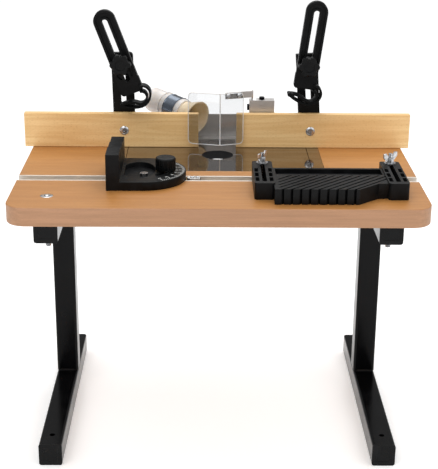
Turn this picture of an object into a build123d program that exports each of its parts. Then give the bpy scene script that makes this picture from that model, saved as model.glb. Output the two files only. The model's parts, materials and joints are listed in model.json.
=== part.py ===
"""A bench-top router table with a split fence, guard, hold-downs, mitre gauge and featherboard.

Millimetres. +Z is up, +Y points away from the operator and +X lies along the fence to the right.
The origin is on the floor under the middle of the whole table. Distances called "from_front" are
measured backwards from the front edge of the table top, and y_at() places them in the frame.
"""

import math
import os

from build123d import *

os.makedirs("parts", exist_ok=True)

# ---------------------------------------------------------------- clearances
slide_gap = 0.1
running_gap = 0.05
bolt_gap = 0.3
seat_gap = 0.15
strip_gap = 0.6
thread_end = 4.0

# ---------------------------------------------------------------- table top
table_width = 610.0
table_depth = 405.0
table_height = 400.0
top_thickness = 28.0
top_corner_radius = 30.0
top_edge_round = 1.5

# ---------------------------------------------------------------- legs
tube_size = 35.0
tube_wall = 2.0
tube_corner = 4.0
leg_outside = 535.0
foot_front_overhang = 22.0
foot_length = 395.0
rail_setback = 27.0
rail_length = 351.0
upright_from_front = 245.0
cap_face = 3.0
cap_plug_depth = 12.0
bench_hole_radius = 4.0
bench_hole_inset = 30.0

# ---------------------------------------------------------------- table bolts
table_bolt_radius = 4.0
table_bolt_head_radius = 9.5
table_bolt_inset = 30.0
table_bolt_tail = 14.0
nut_height = 6.5
nut_radius = 7.5
nut_flange_radius = 9.5
nut_flange_height = 1.6

# ---------------------------------------------------------------- mitre track
track_from_front = 144.5
track_width = 27.0
track_height = 12.5
track_slot_width = 19.2
track_lip = 6.0
track_cavity_width = 23.4
track_floor = 2.5
track_end_inset = 0.5
track_screw_count = 5
track_screw_spacing = 125.0

# ---------------------------------------------------------------- insert plate
plate_width = 294.0
plate_depth = 182.0
plate_thickness = 6.0
plate_front = 183.0
plate_corner = 6.0
strip_width = 20.0
router_opening_width = 250.0
router_opening_depth = 146.0
router_opening_corner = 20.0
bit_radius = 25.5
ring_wall = 2.5
ring_flange = 2.5
ring_flange_thickness = 2.5
ring_height = 14.0
router_seat_radius = 64.0
router_seat_depth = 0.5
small_screw_radius = 2.0
small_screw_head_radius = 4.0
small_screw_length = 14.0
small_screw_inset = 9.0

# ---------------------------------------------------------------- fence
fence_length = 635.0
fence_gap = 62.0
fence_height = 57.0
fence_thickness = 12.0
fence_from_front = 318.0
fence_lift = 0.2
sheet = 2.5
channel_length = 570.0
channel_depth = 54.0
channel_front_height = 50.0
channel_back_height = 41.0
chip_opening_depth = 33.0
face_bolt_x = 153.5
face_bolt_height = 28.5
face_bolt_radius = 3.0
face_bolt_head_radius = 7.5
face_bolt_head_height = 2.6
face_slot_travel = 19.0
face_knob_radius = 14.0
face_knob_height = 18.0
clamp_leg_gap = 3.5
clamp_bolt_radius = 4.0
clamp_forward = 20.0
clamp_backward = 30.0
clamp_knob_radius = 17.0
clamp_knob_height = 22.0
clamp_plate_size = 28.0
clamp_plate_thickness = 3.0
clamp_head_height = 5.0
clamp_head_radius = 9.0
clamp_knob_lobes = 7

# ---------------------------------------------------------------- dust port
mouth_x = -33.0
mouth_from_front = 362.0
mouth_height = 39.5
duct_direction = Vector(-0.70, 0.67, 0.12).normalized()
mouth_radius = 28.0
duct_wall = 2.0
nozzle_cone = 26.0
nozzle_radius = 19.0
nozzle_length = 76.0
hose_start = 30.0
hose_end = 107.0
hose_bead_start = 74.0
hose_bead_width = 3.0
hose_bead_height = 1.2
band_start = 40.0
band_width = 24.0
band_thickness = 1.0
band_lug = 7.0

# ---------------------------------------------------------------- guard
guard_ridge_x = 4.0
guard_left_x = -48.0
guard_right_x = 42.0
guard_from_front = 299.0
guard_sweep = 12.0
guard_thickness = 3.0
guard_bottom = 9.0
guard_height = 85.5
guard_corner = 6.0
guard_pivot_from_front = 343.0
guard_pivot_height = 63.0
guard_pivot_radius = 3.0
guard_head_radius = 5.5
guard_head_height = 3.5
guard_nut_height = 4.5
strap_height = 10.5
strap_above_panel = 1.0
strap_bend = 3.0
strap_start_x = 12.0
strap_side_x = 56.0
strap_eye_radius = 7.0
bracket_left_x = 52.8
bracket_right_x = 94.0
bracket_height = 76.5
bracket_flange_inset = 9.0
bracket_ear_height = 24.0
bracket_flange = 17.0
bracket_bolt_height = 20.0

# ---------------------------------------------------------------- hold-downs
post_width = 35.5
post_thickness = 10.0
post_height = 126.0
post_slot_bottom = 45.0
post_slot_top = 116.0
post_leans = {"left": 1.2, "right": 4.0}
arm_leans = {"left": 20.6, "right": 7.4}
arm_bolt_reach = {"left": 115.0, "right": 114.0}
arm_bolt_along_slot = {"left": -5.0, "right": 8.5}
arm_bolt_radius = 4.0
arm_width = 35.5
arm_block_width = 37.0
arm_block_top = -22.0
arm_thickness = 11.0
arm_front_of_fence = 4.0
arm_top = 94.0
arm_bottom = -48.0
arm_slot_top = 79.0
arm_slot_bottom = -28.0
arm_slot_width = 9.0
arm_rim = 3.6
arm_pocket_depth = 4.0
spacer_radius = 9.0
shoe_depth = 18.0
shoe_leaf = 3.4
star_knob_radius = 17.0
star_knob_height = 20.0
arm_bolt_head_radius = 8.0
arm_bolt_head_height = 4.5

# ---------------------------------------------------------------- mitre gauge
gauge_pivot_x = -113.0
head_radius = 64.0
head_thickness = 13.0
head_lift = 0.3
head_floor = 5.0
head_wall_x = -146.0
face_block_thickness = 20.0
face_block_heights = (54.5, 51.0, 47.5)
gauge_bar_left = -168.0
gauge_bar_right = -27.0
gauge_bar_height = 9.4
gauge_knob_reach = 33.0
gauge_knob_radius = 15.5
gauge_knob_height = 19.0
gauge_slot_angle = 50.0
gauge_stud_radius = 3.0
gauge_washer_radius = 11.0
washer_thickness = 1.4

# ---------------------------------------------------------------- featherboard
feather_left_x = 51.0
feather_right_x = 275.0
feather_block_width = 30.0
feather_block_front = 42.0
feather_block_back = 155.0
feather_block_height = 25.0
feather_slot_front = 52.0
feather_board_height = 23.0
feather_tip_from_front = 20.0
feather_root_from_front = 88.0
feather_rail_back = 126.0
feather_first_gap_x = 88.4
feather_gap_pitch = 12.9
feather_gap_count = 9
feather_gap_width = 2.6
feather_nose_x = 199.6
feather_lift = 0.2
t_bolt_radius = 3.0
t_bolt_length = 12.0
wing_span = 28.0

# ---------------------------------------------------------------- derived places
top_z = table_height
underside_z = table_height - top_thickness
rail_bottom_z = underside_z - tube_size
leg_x = (leg_outside - tube_size) / 2
clamp_x = leg_outside / 2 - tube_size - clamp_leg_gap - clamp_plate_size / 2
foot_back = foot_length - foot_front_overhang
hose_radius = nozzle_radius + slide_gap + duct_wall
duct_back = mouth_from_front + hose_end * duct_direction.Y
duct_back = duct_back + hose_radius * math.sqrt(1 - duct_direction.Y**2)
middle_from_front = (duct_back - foot_front_overhang) / 2


def y_at(from_front):
    """Turn a distance behind the table's front edge into a Y value."""
    return from_front - middle_from_front


def save(piece, node):
    """Label a finished piece and write its STEP file."""
    piece.part.label = node
    export_step(piece.part, f"parts/{node}.step")


def toward_back(x, from_front, z):
    """A plane facing +Y: extruding adds material away from the operator."""
    return Plane(origin=(x, y_at(from_front), z), x_dir=(1, 0, 0), z_dir=(0, 1, 0))


def toward_front(x, from_front, z, lean=0.0):
    """A plane facing the operator, its own up direction leaning left by lean degrees."""
    tilt = math.radians(lean)
    right = (math.cos(tilt), 0, math.sin(tilt))
    return Plane(origin=(x, y_at(from_front), z), x_dir=right, z_dir=(0, -1, 0))


def disc(plane, start, end, radius, mode=Mode.ADD):
    """Extrude a round from start to end along a plane's normal."""
    with BuildSketch(plane.offset(start)) as round_face:
        Circle(radius)
    extrude(round_face.sketch, amount=end - start, mode=mode)


def hexagon(plane, start, end, radius):
    """Extrude a hexagon from start to end along a plane's normal."""
    with BuildSketch(plane.offset(start)) as hexagon_face:
        RegularPolygon(radius, 6)
    extrude(hexagon_face.sketch, amount=end - start)


def cone(plane, start, end, start_radius, end_radius, mode=Mode.ADD):
    """Loft a round that changes radius from start to end along a plane's normal."""
    with BuildSketch(plane.offset(start)) as start_face:
        Circle(start_radius)
    with BuildSketch(plane.offset(end)) as end_face:
        Circle(end_radius)
    loft([start_face.sketch, end_face.sketch], mode=mode)


def countersunk(plane, head_radius, shank_radius, length):
    """A flat countersunk screw, its head flush with the plane and its shank behind it."""
    sink = head_radius - shank_radius
    cone(plane, -sink, 0, shank_radius, head_radius)
    disc(plane, -length, -sink, shank_radius)


def star_knob(seat, radius, height, lobes, bore_radius, bore_depth):
    """A moulded star knob that stands on the seat plane and faces along its normal."""
    collar = height * 0.25
    lobe_radius = radius * 0.3
    with BuildPart() as knob:
        disc(seat, 0, collar, radius * 0.55)
        with BuildSketch(seat.offset(collar)):
            Circle(radius * 0.8)
            with PolarLocations(radius - lobe_radius, lobes):
                Circle(lobe_radius)
        extrude(amount=height - collar)
        crown = knob.faces().sort_by(Axis(seat.origin, seat.z_dir))[-1]
        chamfer(crown.edges(), radius * 0.06)
        disc(seat, height - radius * 0.12, height, radius * 0.5, Mode.SUBTRACT)
        disc(seat, 0, bore_depth, bore_radius, Mode.SUBTRACT)
    return knob


def square_tube(plane, length, drillings=(), drill_radius=0.0):
    """A square steel tube drawn along a plane's normal, drilled upwards at each (x, y, z)."""
    inside = tube_size - 2 * tube_wall
    with BuildPart() as tube:
        with BuildSketch(plane):
            RectangleRounded(tube_size, tube_size, tube_corner)
            RectangleRounded(inside, inside, tube_corner - tube_wall, mode=Mode.SUBTRACT)
        extrude(amount=length)
        for drilling in drillings:
            disc(Plane(origin=drilling), 0, tube_size, drill_radius, Mode.SUBTRACT)
    return tube


def tube_caps(places):
    """Push-in plugs with flush faces; each place is a plane facing into its tube."""
    plug = tube_size - 2 * tube_wall - 2 * slide_gap
    with BuildPart() as caps:
        for place in places:
            with BuildSketch(place):
                RectangleRounded(tube_size, tube_size, tube_corner)
            extrude(amount=cap_face)
            with BuildSketch(place.offset(cap_face)):
                RectangleRounded(plug, plug, tube_corner - tube_wall)
                Rectangle(plug - 5, plug - 5, mode=Mode.SUBTRACT)
            extrude(amount=cap_plug_depth)
            with BuildSketch(place):
                Rectangle(tube_size * 0.6, tube_size * 0.6)
            extrude(amount=0.5, mode=Mode.SUBTRACT)
    return caps


# ================================================================ table
bolt_rows = (
    rail_setback + table_bolt_inset,
    rail_setback + rail_length - table_bolt_inset,
)
bolt_places = [(side * leg_x, y_at(row)) for side in (-1, 1) for row in bolt_rows]
plate_middle = plate_front + plate_depth / 2
recess_width = plate_width + 2 * strip_width
clamp_from_front = fence_from_front + fence_thickness + channel_depth / 2
clamp_slot_width = 2 * clamp_bolt_radius + 2 * bolt_gap

with BuildPart() as table_top:
    with BuildSketch(Plane.XY.offset(underside_z)):
        with Locations((0, y_at(table_depth / 2))):
            RectangleRounded(table_width, table_depth, top_corner_radius)
    extrude(amount=top_thickness)
    fillet(table_top.faces().sort_by(Axis.Z)[-1].edges(), top_edge_round)
    fillet(table_top.faces().sort_by(Axis.Z)[0].edges(), top_edge_round)
    with BuildSketch(Plane.XY.offset(top_z)):
        with Locations((0, y_at(track_from_front))):
            Rectangle(table_width + 2, track_width + 2 * running_gap)
    extrude(amount=-track_height - running_gap, mode=Mode.SUBTRACT)
    with BuildSketch(Plane.XY.offset(top_z)):
        with Locations((0, y_at(plate_middle))):
            RectangleRounded(recess_width, plate_depth, plate_corner)
    extrude(amount=-plate_thickness, mode=Mode.SUBTRACT)
    with BuildSketch(Plane.XY.offset(underside_z)):
        with Locations((0, y_at(plate_middle))):
            RectangleRounded(router_opening_width, router_opening_depth, router_opening_corner)
    extrude(amount=top_thickness, mode=Mode.SUBTRACT)
    with BuildSketch(Plane.XY.offset(underside_z)):
        for side in (-1, 1):
            middle = clamp_from_front + (clamp_backward - clamp_forward) / 2
            with Locations((side * clamp_x, y_at(middle))):
                SlotCenterToCenter(clamp_forward + clamp_backward + 2, clamp_slot_width, rotation=90)
    extrude(amount=top_thickness, mode=Mode.SUBTRACT)
    with Locations(*[(x, y, top_z) for x, y in bolt_places]):
        CounterSinkHole(
            radius=table_bolt_radius + running_gap,
            counter_sink_radius=table_bolt_head_radius + running_gap,
            depth=top_thickness,
        )
    track_screw_span = (track_screw_count - 1) * track_screw_spacing
    track_screw_places = [
        (index * track_screw_spacing - track_screw_span / 2, y_at(track_from_front))
        for index in range(track_screw_count)
    ]
    with Locations(*[(x, y, top_z - track_height) for x, y in track_screw_places]):
        Hole(radius=small_screw_radius + running_gap, depth=small_screw_length)
    screw_row = plate_depth / 2 - small_screw_inset
    plate_screw_places = [
        (side * x, y_at(plate_middle + end * screw_row))
        for side in (-1, 1)
        for end in (-1, 1)
        for x in (plate_width / 2 - small_screw_inset, (plate_width + strip_width) / 2)
    ]
    with Locations(*[(x, y, top_z - plate_thickness) for x, y in plate_screw_places]):
        Hole(radius=small_screw_radius + running_gap, depth=small_screw_length)
save(table_top, "table_top")

track_floor_z = top_z - track_height + track_floor
with BuildPart() as mitre_track:
    # A floor strip and two side rails, so that the slot stays open as three plain solids.
    with BuildSketch(Plane.YZ.offset(-table_width / 2 + track_end_inset)):
        with Locations((y_at(track_from_front), track_floor_z)):
            Rectangle(track_width, track_floor, align=(Align.CENTER, Align.MAX))
        with Locations((y_at(track_from_front), top_z)):
            rail_height = track_height - track_floor - running_gap
            Rectangle(track_width, rail_height, align=(Align.CENTER, Align.MAX))
            Rectangle(track_slot_width, track_lip, align=(Align.CENTER, Align.MAX), mode=Mode.SUBTRACT)
        with Locations((y_at(track_from_front), top_z - track_lip)):
            cavity_height = rail_height - track_lip
            Rectangle(
                track_cavity_width, cavity_height, align=(Align.CENTER, Align.MAX), mode=Mode.SUBTRACT
            )
    extrude(amount=table_width - 2 * track_end_inset)
    with Locations(*[(x, y, track_floor_z) for x, y in track_screw_places]):
        CounterSinkHole(
            radius=small_screw_radius + running_gap,
            counter_sink_radius=small_screw_head_radius + running_gap,
            depth=track_floor + 1,
        )
save(mitre_track, "mitre_track")

with BuildPart() as track_screws:
    for x, y in track_screw_places:
        place = Plane(origin=(x, y, track_floor_z))
        countersunk(place, small_screw_head_radius, small_screw_radius, small_screw_length)
save(track_screws, "track_screws")

with BuildPart() as insert_plate:
    with BuildSketch(Plane.XY.offset(top_z - plate_thickness)):
        with Locations((0, y_at(plate_middle))):
            Rectangle(plate_width, plate_depth - 2 * seat_gap)
    extrude(amount=plate_thickness)
    chamfer(insert_plate.faces().sort_by(Axis.Z)[-1].edges(), 0.4)
    ring_flange_radius = bit_radius + ring_wall + ring_flange
    with Locations((0, y_at(plate_middle), top_z)):
        CounterBoreHole(
            radius=bit_radius + ring_wall + running_gap,
            counter_bore_radius=ring_flange_radius + running_gap,
            counter_bore_depth=ring_flange_thickness,
            depth=plate_thickness,
        )
    plate_underside = Plane(origin=(0, y_at(plate_middle), top_z - plate_thickness))
    disc(plate_underside, 0, router_seat_depth, router_seat_radius, Mode.SUBTRACT)
    corner_screws = [(x, y, top_z) for x, y in plate_screw_places if abs(x) < plate_width / 2]
    with Locations(*corner_screws):
        CounterSinkHole(
            radius=small_screw_radius + running_gap,
            counter_sink_radius=small_screw_head_radius + running_gap,
            depth=plate_thickness,
        )
save(insert_plate, "insert_plate")

with BuildPart() as insert_strips:
    with BuildSketch(Plane.XY.offset(top_z - plate_thickness)):
        for side in (-1, 1):
            with Locations((side * (plate_width + strip_width) / 2, y_at(plate_middle))):
                RectangleRounded(strip_width - 2 * strip_gap, plate_depth - 2 * seat_gap, plate_corner)
    extrude(amount=plate_thickness)
    strip_screws = [(x, y, top_z) for x, y in plate_screw_places if abs(x) > plate_width / 2]
    with Locations(*strip_screws):
        CounterSinkHole(
            radius=small_screw_radius + running_gap,
            counter_sink_radius=small_screw_head_radius + running_gap,
            depth=plate_thickness,
        )
save(insert_strips, "insert_strips")

with BuildPart() as insert_screws:
    for x, y in plate_screw_places:
        length = plate_thickness + small_screw_length - 1
        countersunk(Plane(origin=(x, y, top_z)), small_screw_head_radius, small_screw_radius, length)
save(insert_screws, "insert_screws")

with BuildPart() as insert_ring:
    ring_seat = Plane(origin=(0, y_at(plate_middle), top_z))
    disc(ring_seat, -ring_flange_thickness, 0, ring_flange_radius)
    disc(ring_seat, -ring_height, 0, bit_radius + ring_wall)
    disc(ring_seat, -ring_height, 0, bit_radius, Mode.SUBTRACT)
save(insert_ring, "insert_ring")

# ================================================================ legs
foot_bolt_rows = (bench_hole_inset - foot_front_overhang, foot_back - bench_hole_inset)
foot_cap_places = []
rail_cap_places = []
for side, name in ((-1, "left"), (1, "right")):
    x = side * leg_x
    foot_z = tube_size / 2
    rail_z = rail_bottom_z + tube_size / 2
    foot = square_tube(
        toward_back(x, cap_face - foot_front_overhang, foot_z),
        foot_length - 2 * cap_face,
        [(x, y_at(row), 0) for row in foot_bolt_rows],
        bench_hole_radius,
    )
    save(foot, f"foot_tube_{name}")
    rail = square_tube(
        toward_back(x, rail_setback + cap_face, rail_z),
        rail_length - 2 * cap_face,
        [(x, y_at(row), rail_bottom_z) for row in bolt_rows],
        table_bolt_radius + bolt_gap,
    )
    save(rail, f"rail_tube_{name}")
    upright_plane = Plane(origin=(x, y_at(upright_from_front), tube_size))
    save(square_tube(upright_plane, rail_bottom_z - tube_size), f"upright_tube_{name}")
    front_cap = toward_back(x, -foot_front_overhang, foot_z)
    foot_cap_places += [front_cap, -toward_back(x, foot_back, foot_z)]
    front_cap = toward_back(x, rail_setback, rail_z)
    rail_cap_places += [front_cap, -toward_back(x, rail_setback + rail_length, rail_z)]
save(tube_caps(foot_cap_places), "foot_caps")
save(tube_caps(rail_cap_places), "rail_caps")

with BuildPart() as table_bolts:
    for x, y in bolt_places:
        length = top_thickness + tube_size + table_bolt_tail
        countersunk(Plane(origin=(x, y, top_z)), table_bolt_head_radius, table_bolt_radius, length)
save(table_bolts, "table_bolts")

with BuildPart() as table_nuts:
    for x, y in bolt_places:
        nut_seat = Plane(origin=(x, y, rail_bottom_z))
        disc(nut_seat, -nut_flange_height, 0, nut_flange_radius)
        hexagon(nut_seat, -nut_height, -nut_flange_height, nut_radius)
        disc(nut_seat, -nut_height, 0, table_bolt_radius + running_gap, Mode.SUBTRACT)
save(table_nuts, "table_nuts")

# ================================================================ fence
fence_back = fence_from_front + fence_thickness
flange_front = fence_back + slide_gap
flange_back = flange_front + sheet
channel_back = fence_back + channel_depth
duct = Plane(origin=(mouth_x, y_at(mouth_from_front), top_z + mouth_height), z_dir=duct_direction)
bracket_bolt_xs = (bracket_left_x + 14, bracket_right_x - 12)

with BuildPart() as fence_channel:
    channel_bottom = top_z + slide_gap
    with BuildSketch(Plane.YZ.offset(-channel_length / 2)):
        with BuildLine():
            Polyline(
                (y_at(flange_front), channel_bottom),
                (y_at(channel_back), channel_bottom),
                (y_at(channel_back), top_z + channel_back_height),
                (y_at(channel_back - sheet), top_z + channel_back_height),
                (y_at(channel_back - sheet), channel_bottom + sheet),
                (y_at(flange_back), channel_bottom + sheet),
                (y_at(flange_back), top_z + channel_front_height),
                (y_at(flange_front), top_z + channel_front_height),
                close=True,
            )
        make_face()
    extrude(amount=channel_length)
    outer_bends = fence_channel.edges().filter_by(Axis.X).group_by(Axis.Z)[0]
    fillet(outer_bends, sheet * 0.8)
    with BuildSketch(toward_back(0, flange_front, top_z)):
        Rectangle(fence_gap, 2 * (channel_front_height + 1))
        with Locations(*[(side * face_bolt_x, -face_bolt_height) for side in (-1, 1)]):
            SlotCenterToCenter(2 * face_slot_travel + 1, 2 * face_bolt_radius + 0.4)
        with Locations(*[(x, -bracket_bolt_height) for x in bracket_bolt_xs]):
            Circle(small_screw_radius + running_gap)
    extrude(amount=sheet, mode=Mode.SUBTRACT)
    with BuildSketch(Plane.XY.offset(top_z)):
        with Locations((0, y_at(fence_back + chip_opening_depth / 2))):
            Rectangle(fence_gap, chip_opening_depth)
        with Locations(*[(side * clamp_x, y_at(clamp_from_front)) for side in (-1, 1)]):
            Circle(clamp_bolt_radius + bolt_gap)
    extrude(amount=slide_gap + sheet, mode=Mode.SUBTRACT)
    disc(duct, 0, hose_end, hose_radius + slide_gap + band_thickness + seat_gap, Mode.SUBTRACT)
    disc(duct, 0, nozzle_cone, mouth_radius + seat_gap, Mode.SUBTRACT)
save(fence_channel, "fence_channel")

with BuildPart() as clamp_bolts:
    for side in (-1, 1):
        place = Plane(origin=(side * clamp_x, y_at(clamp_from_front), underside_z - slide_gap))
        head_end = -clamp_plate_thickness - clamp_head_height
        disc(place, head_end, -clamp_plate_thickness, clamp_head_radius)
        with BuildSketch(place):
            Rectangle(clamp_plate_size, clamp_plate_size)
        extrude(amount=-clamp_plate_thickness)
        disc(place, 0, top_thickness + sheet + clamp_knob_height - thread_end, clamp_bolt_radius)
save(clamp_bolts, "clamp_bolts")

half_length = (fence_length - fence_gap) / 2
face_middle = fence_gap / 2 + half_length / 2
for side, name in ((-1, "left"), (1, "right")):
    clamp_seat = Plane(origin=(side * clamp_x, y_at(clamp_from_front), top_z + 2 * slide_gap + sheet))
    clamp_knob = star_knob(
        clamp_seat,
        clamp_knob_radius,
        clamp_knob_height,
        clamp_knob_lobes,
        clamp_bolt_radius + running_gap,
        clamp_knob_height - 3,
    )
    save(clamp_knob, f"clamp_knob_{name}")

    with BuildPart() as fence_face:
        with BuildSketch(toward_back(side * face_middle, fence_from_front, top_z + fence_lift)):
            Rectangle(half_length, fence_height - fence_lift, align=(Align.CENTER, Align.MAX))
        extrude(amount=fence_thickness)
        chamfer(fence_face.edges(), 0.8)
        with BuildSketch(toward_back(side * face_bolt_x, fence_from_front, top_z + face_bolt_height)):
            Circle(face_bolt_radius + running_gap)
        extrude(amount=fence_thickness, mode=Mode.SUBTRACT)
    save(fence_face, f"fence_face_{name}")

    # The cup head stands on the wood and its shank runs back through channel, post and knob.
    post_front = flange_back + slide_gap
    post_back = post_front + post_thickness
    bolt_plane = toward_back(side * face_bolt_x, fence_from_front, top_z + face_bolt_height)
    knob_start = post_back + slide_gap - fence_from_front
    with BuildPart() as face_bolt:
        cone(bolt_plane, -face_bolt_head_height, 0, face_bolt_head_radius * 0.55, face_bolt_head_radius)
        disc(bolt_plane, 0, knob_start + face_knob_height - thread_end, face_bolt_radius)
    save(face_bolt, f"face_bolt_{name}")
    face_knob = star_knob(
        bolt_plane.offset(knob_start),
        face_knob_radius,
        face_knob_height,
        6,
        face_bolt_radius + running_gap,
        face_knob_height - 3,
    )
    save(face_knob, f"face_knob_{name}")

# ================================================================ dust port
with BuildPart() as dust_nozzle:
    cone(duct, 0, nozzle_cone, mouth_radius, nozzle_radius)
    disc(duct, nozzle_cone, nozzle_length, nozzle_radius)
    cone(duct, 0, nozzle_cone, mouth_radius - duct_wall, nozzle_radius - duct_wall, Mode.SUBTRACT)
    disc(duct, nozzle_cone, nozzle_length, nozzle_radius - duct_wall, Mode.SUBTRACT)
save(dust_nozzle, "dust_nozzle")

with BuildPart() as dust_hose_tube:
    disc(duct, hose_start, hose_end, hose_radius)
    disc(duct, hose_bead_start, hose_bead_start + hose_bead_width, hose_radius + hose_bead_height)
    disc(duct, hose_start, hose_end, nozzle_radius + slide_gap, Mode.SUBTRACT)
save(dust_hose_tube, "dust_hose_tube")

with BuildPart() as dust_band:
    band_end = band_start + band_width
    disc(duct, band_start, band_end, hose_radius + slide_gap + band_thickness)
    with BuildSketch(duct.offset(band_start)):
        with Locations((0, hose_radius + band_lug / 2)):
            Rectangle(band_lug * 2, band_lug)
    extrude(amount=band_width)
    disc(duct, band_start, band_end, hose_radius + slide_gap, Mode.SUBTRACT)
save(dust_band, "dust_band")

# ================================================================ guard
guard_slope = guard_sweep / (guard_right_x - guard_ridge_x)
guard_end = guard_from_front + guard_sweep


def guard_back(x):
    """Distance from the front of the right panel's rear face at x."""
    return guard_from_front + guard_thickness + guard_slope * (x - guard_ridge_x)


panel_angle = math.atan(guard_slope)
panel_normal = (math.sin(panel_angle), -math.cos(panel_angle), 0)
guard_screw_xs = (strap_start_x + 6, guard_right_x - 6)
strap_bottom = guard_bottom + guard_height - strap_height + strap_above_panel
strap_middle = strap_bottom + strap_height / 2
guard_screw_planes = [
    Plane(origin=(x, y_at(guard_back(x) - guard_thickness), top_z + strap_middle), z_dir=panel_normal)
    for x in guard_screw_xs
]

with BuildPart() as guard_panel:
    with BuildSketch(Plane.XY.offset(top_z + guard_bottom)):
        with BuildLine():
            Polyline(
                (guard_left_x, y_at(guard_end)),
                (guard_ridge_x, y_at(guard_from_front)),
                (guard_right_x, y_at(guard_end)),
                (guard_right_x, y_at(guard_end + guard_thickness)),
                (guard_ridge_x, y_at(guard_from_front + guard_thickness)),
                (guard_left_x, y_at(guard_end + guard_thickness)),
                close=True,
            )
        make_face()
    extrude(amount=guard_height)
    fillet(guard_panel.edges().filter_by(Axis.Y), guard_corner)
    for place in guard_screw_planes:
        disc(place, -2 * guard_thickness, 1, small_screw_radius + running_gap, Mode.SUBTRACT)
save(guard_panel, "guard_panel")

strap_corner_x = strap_side_x + sheet
strap_drop = bracket_height + sheet
with BuildPart() as guard_strap:
    with BuildSketch(Plane.XY.offset(top_z + strap_bottom)):
        with BuildLine():
            Polyline(
                (strap_start_x, y_at(guard_back(strap_start_x) + slide_gap)),
                (strap_corner_x, y_at(guard_back(strap_corner_x) + slide_gap)),
                (strap_corner_x, y_at(guard_back(strap_corner_x) + slide_gap + sheet)),
                (strap_start_x, y_at(guard_back(strap_start_x) + slide_gap + sheet)),
                close=True,
            )
        make_face()
    extrude(amount=strap_height)
    with BuildSketch(Plane.YZ.offset(strap_side_x)):
        with BuildLine():
            elbow = guard_back(strap_side_x) + slide_gap + 1
            Polyline(
                (y_at(elbow), top_z + strap_bottom),
                (y_at(elbow), top_z + strap_bottom + strap_height),
                (y_at(elbow + strap_height), top_z + strap_bottom + strap_height),
                (y_at(guard_pivot_from_front + strap_eye_radius), top_z + strap_drop),
                (y_at(guard_pivot_from_front + strap_eye_radius), top_z + guard_pivot_height),
                (y_at(guard_pivot_from_front - strap_eye_radius), top_z + guard_pivot_height),
                (y_at(guard_pivot_from_front - strap_eye_radius), top_z + strap_drop),
                close=True,
            )
        make_face()
        with Locations((y_at(guard_pivot_from_front), top_z + guard_pivot_height)):
            Circle(strap_eye_radius)
            Circle(guard_pivot_radius + running_gap, mode=Mode.SUBTRACT)
    extrude(amount=sheet)
    upright_edges = guard_strap.edges().filter_by(Axis.Z)
    fillet(upright_edges.group_by(Axis.X)[-1].sort_by(Axis.Y)[0], strap_bend)
    for place in guard_screw_planes:
        disc(place, -4 * guard_thickness, 1, small_screw_radius + running_gap, Mode.SUBTRACT)
save(guard_strap, "guard_strap")

with BuildPart() as guard_screws:
    grip = guard_thickness + slide_gap + sheet
    for place in guard_screw_planes:
        cone(place, 0, 2.2, small_screw_head_radius + 0.6, small_screw_head_radius - 1.4)
        disc(place, -grip - 4, 0, small_screw_radius)
        hexagon(place, -grip - 3.2, -grip - slide_gap / 2, 4)
save(guard_screws, "guard_screws")

bracket_front = flange_back + slide_gap
with BuildPart() as guard_bracket:
    with BuildSketch(toward_back(0, bracket_front, top_z)):
        with Locations(((bracket_left_x + bracket_right_x) / 2, -4)):
            Rectangle(
                bracket_right_x - bracket_left_x, bracket_height - 4, align=(Align.CENTER, Align.MAX)
            )
        with Locations(*[(x, -bracket_bolt_height) for x in bracket_bolt_xs]):
            Circle(small_screw_radius + running_gap, mode=Mode.SUBTRACT)
    extrude(amount=sheet)
    flange_left_x = bracket_left_x + sheet + bracket_flange_inset
    with BuildSketch(Plane.XY.offset(top_z + bracket_height - sheet)):
        with Locations((flange_left_x, y_at(bracket_front))):
            Rectangle(bracket_right_x - flange_left_x, bracket_flange, align=(Align.MIN, Align.MIN))
    extrude(amount=sheet)
    with BuildSketch(Plane.YZ.offset(bracket_left_x)):
        with Locations((y_at(bracket_front), top_z + bracket_height)):
            Rectangle(bracket_flange, bracket_ear_height, align=(Align.MIN, Align.MAX))
        with Locations((y_at(guard_pivot_from_front), top_z + guard_pivot_height)):
            Circle(guard_pivot_radius + running_gap, mode=Mode.SUBTRACT)
    extrude(amount=sheet)
    stop_place = ((bracket_left_x + bracket_right_x) / 2, y_at(bracket_front + 9))
    with Locations((*stop_place, top_z + bracket_height)):
        Hole(radius=small_screw_radius + 0.5 + running_gap, depth=sheet)
save(guard_bracket, "guard_bracket")

with BuildPart() as guard_pivot_bolt:
    pivot_place = (bracket_left_x - slide_gap, y_at(guard_pivot_from_front), top_z + guard_pivot_height)
    pivot = Plane(origin=pivot_place, z_dir=(1, 0, 0))
    strap_back = strap_corner_x + slide_gap - pivot_place[0]
    hexagon(pivot, -guard_head_height, 0, guard_head_radius)
    disc(pivot, 0, strap_back + guard_nut_height, guard_pivot_radius)
    hexagon(pivot, strap_back, strap_back + guard_nut_height, guard_head_radius)
save(guard_pivot_bolt, "guard_pivot_bolt")

with BuildPart() as guard_stop_screw:
    stop = Plane(origin=(*stop_place, top_z + bracket_height + slide_gap))
    disc(stop, 0, 4, 4.5)
    disc(stop, -12, 0, small_screw_radius + 0.5)
    hexagon(stop, -sheet - 2 * slide_gap - 4, -sheet - 2 * slide_gap, 4.6)
save(guard_stop_screw, "guard_stop_screw")

with BuildPart() as bracket_bolts:
    for x in bracket_bolt_xs:
        place = toward_back(x, flange_front, top_z + bracket_bolt_height)
        disc(place, 0, 2 * sheet + slide_gap + 7, small_screw_radius)
        hexagon(place, 2 * sheet + 2 * slide_gap, 2 * sheet + 2 * slide_gap + 3.5, 4.2)
save(bracket_bolts, "bracket_bolts")

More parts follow.
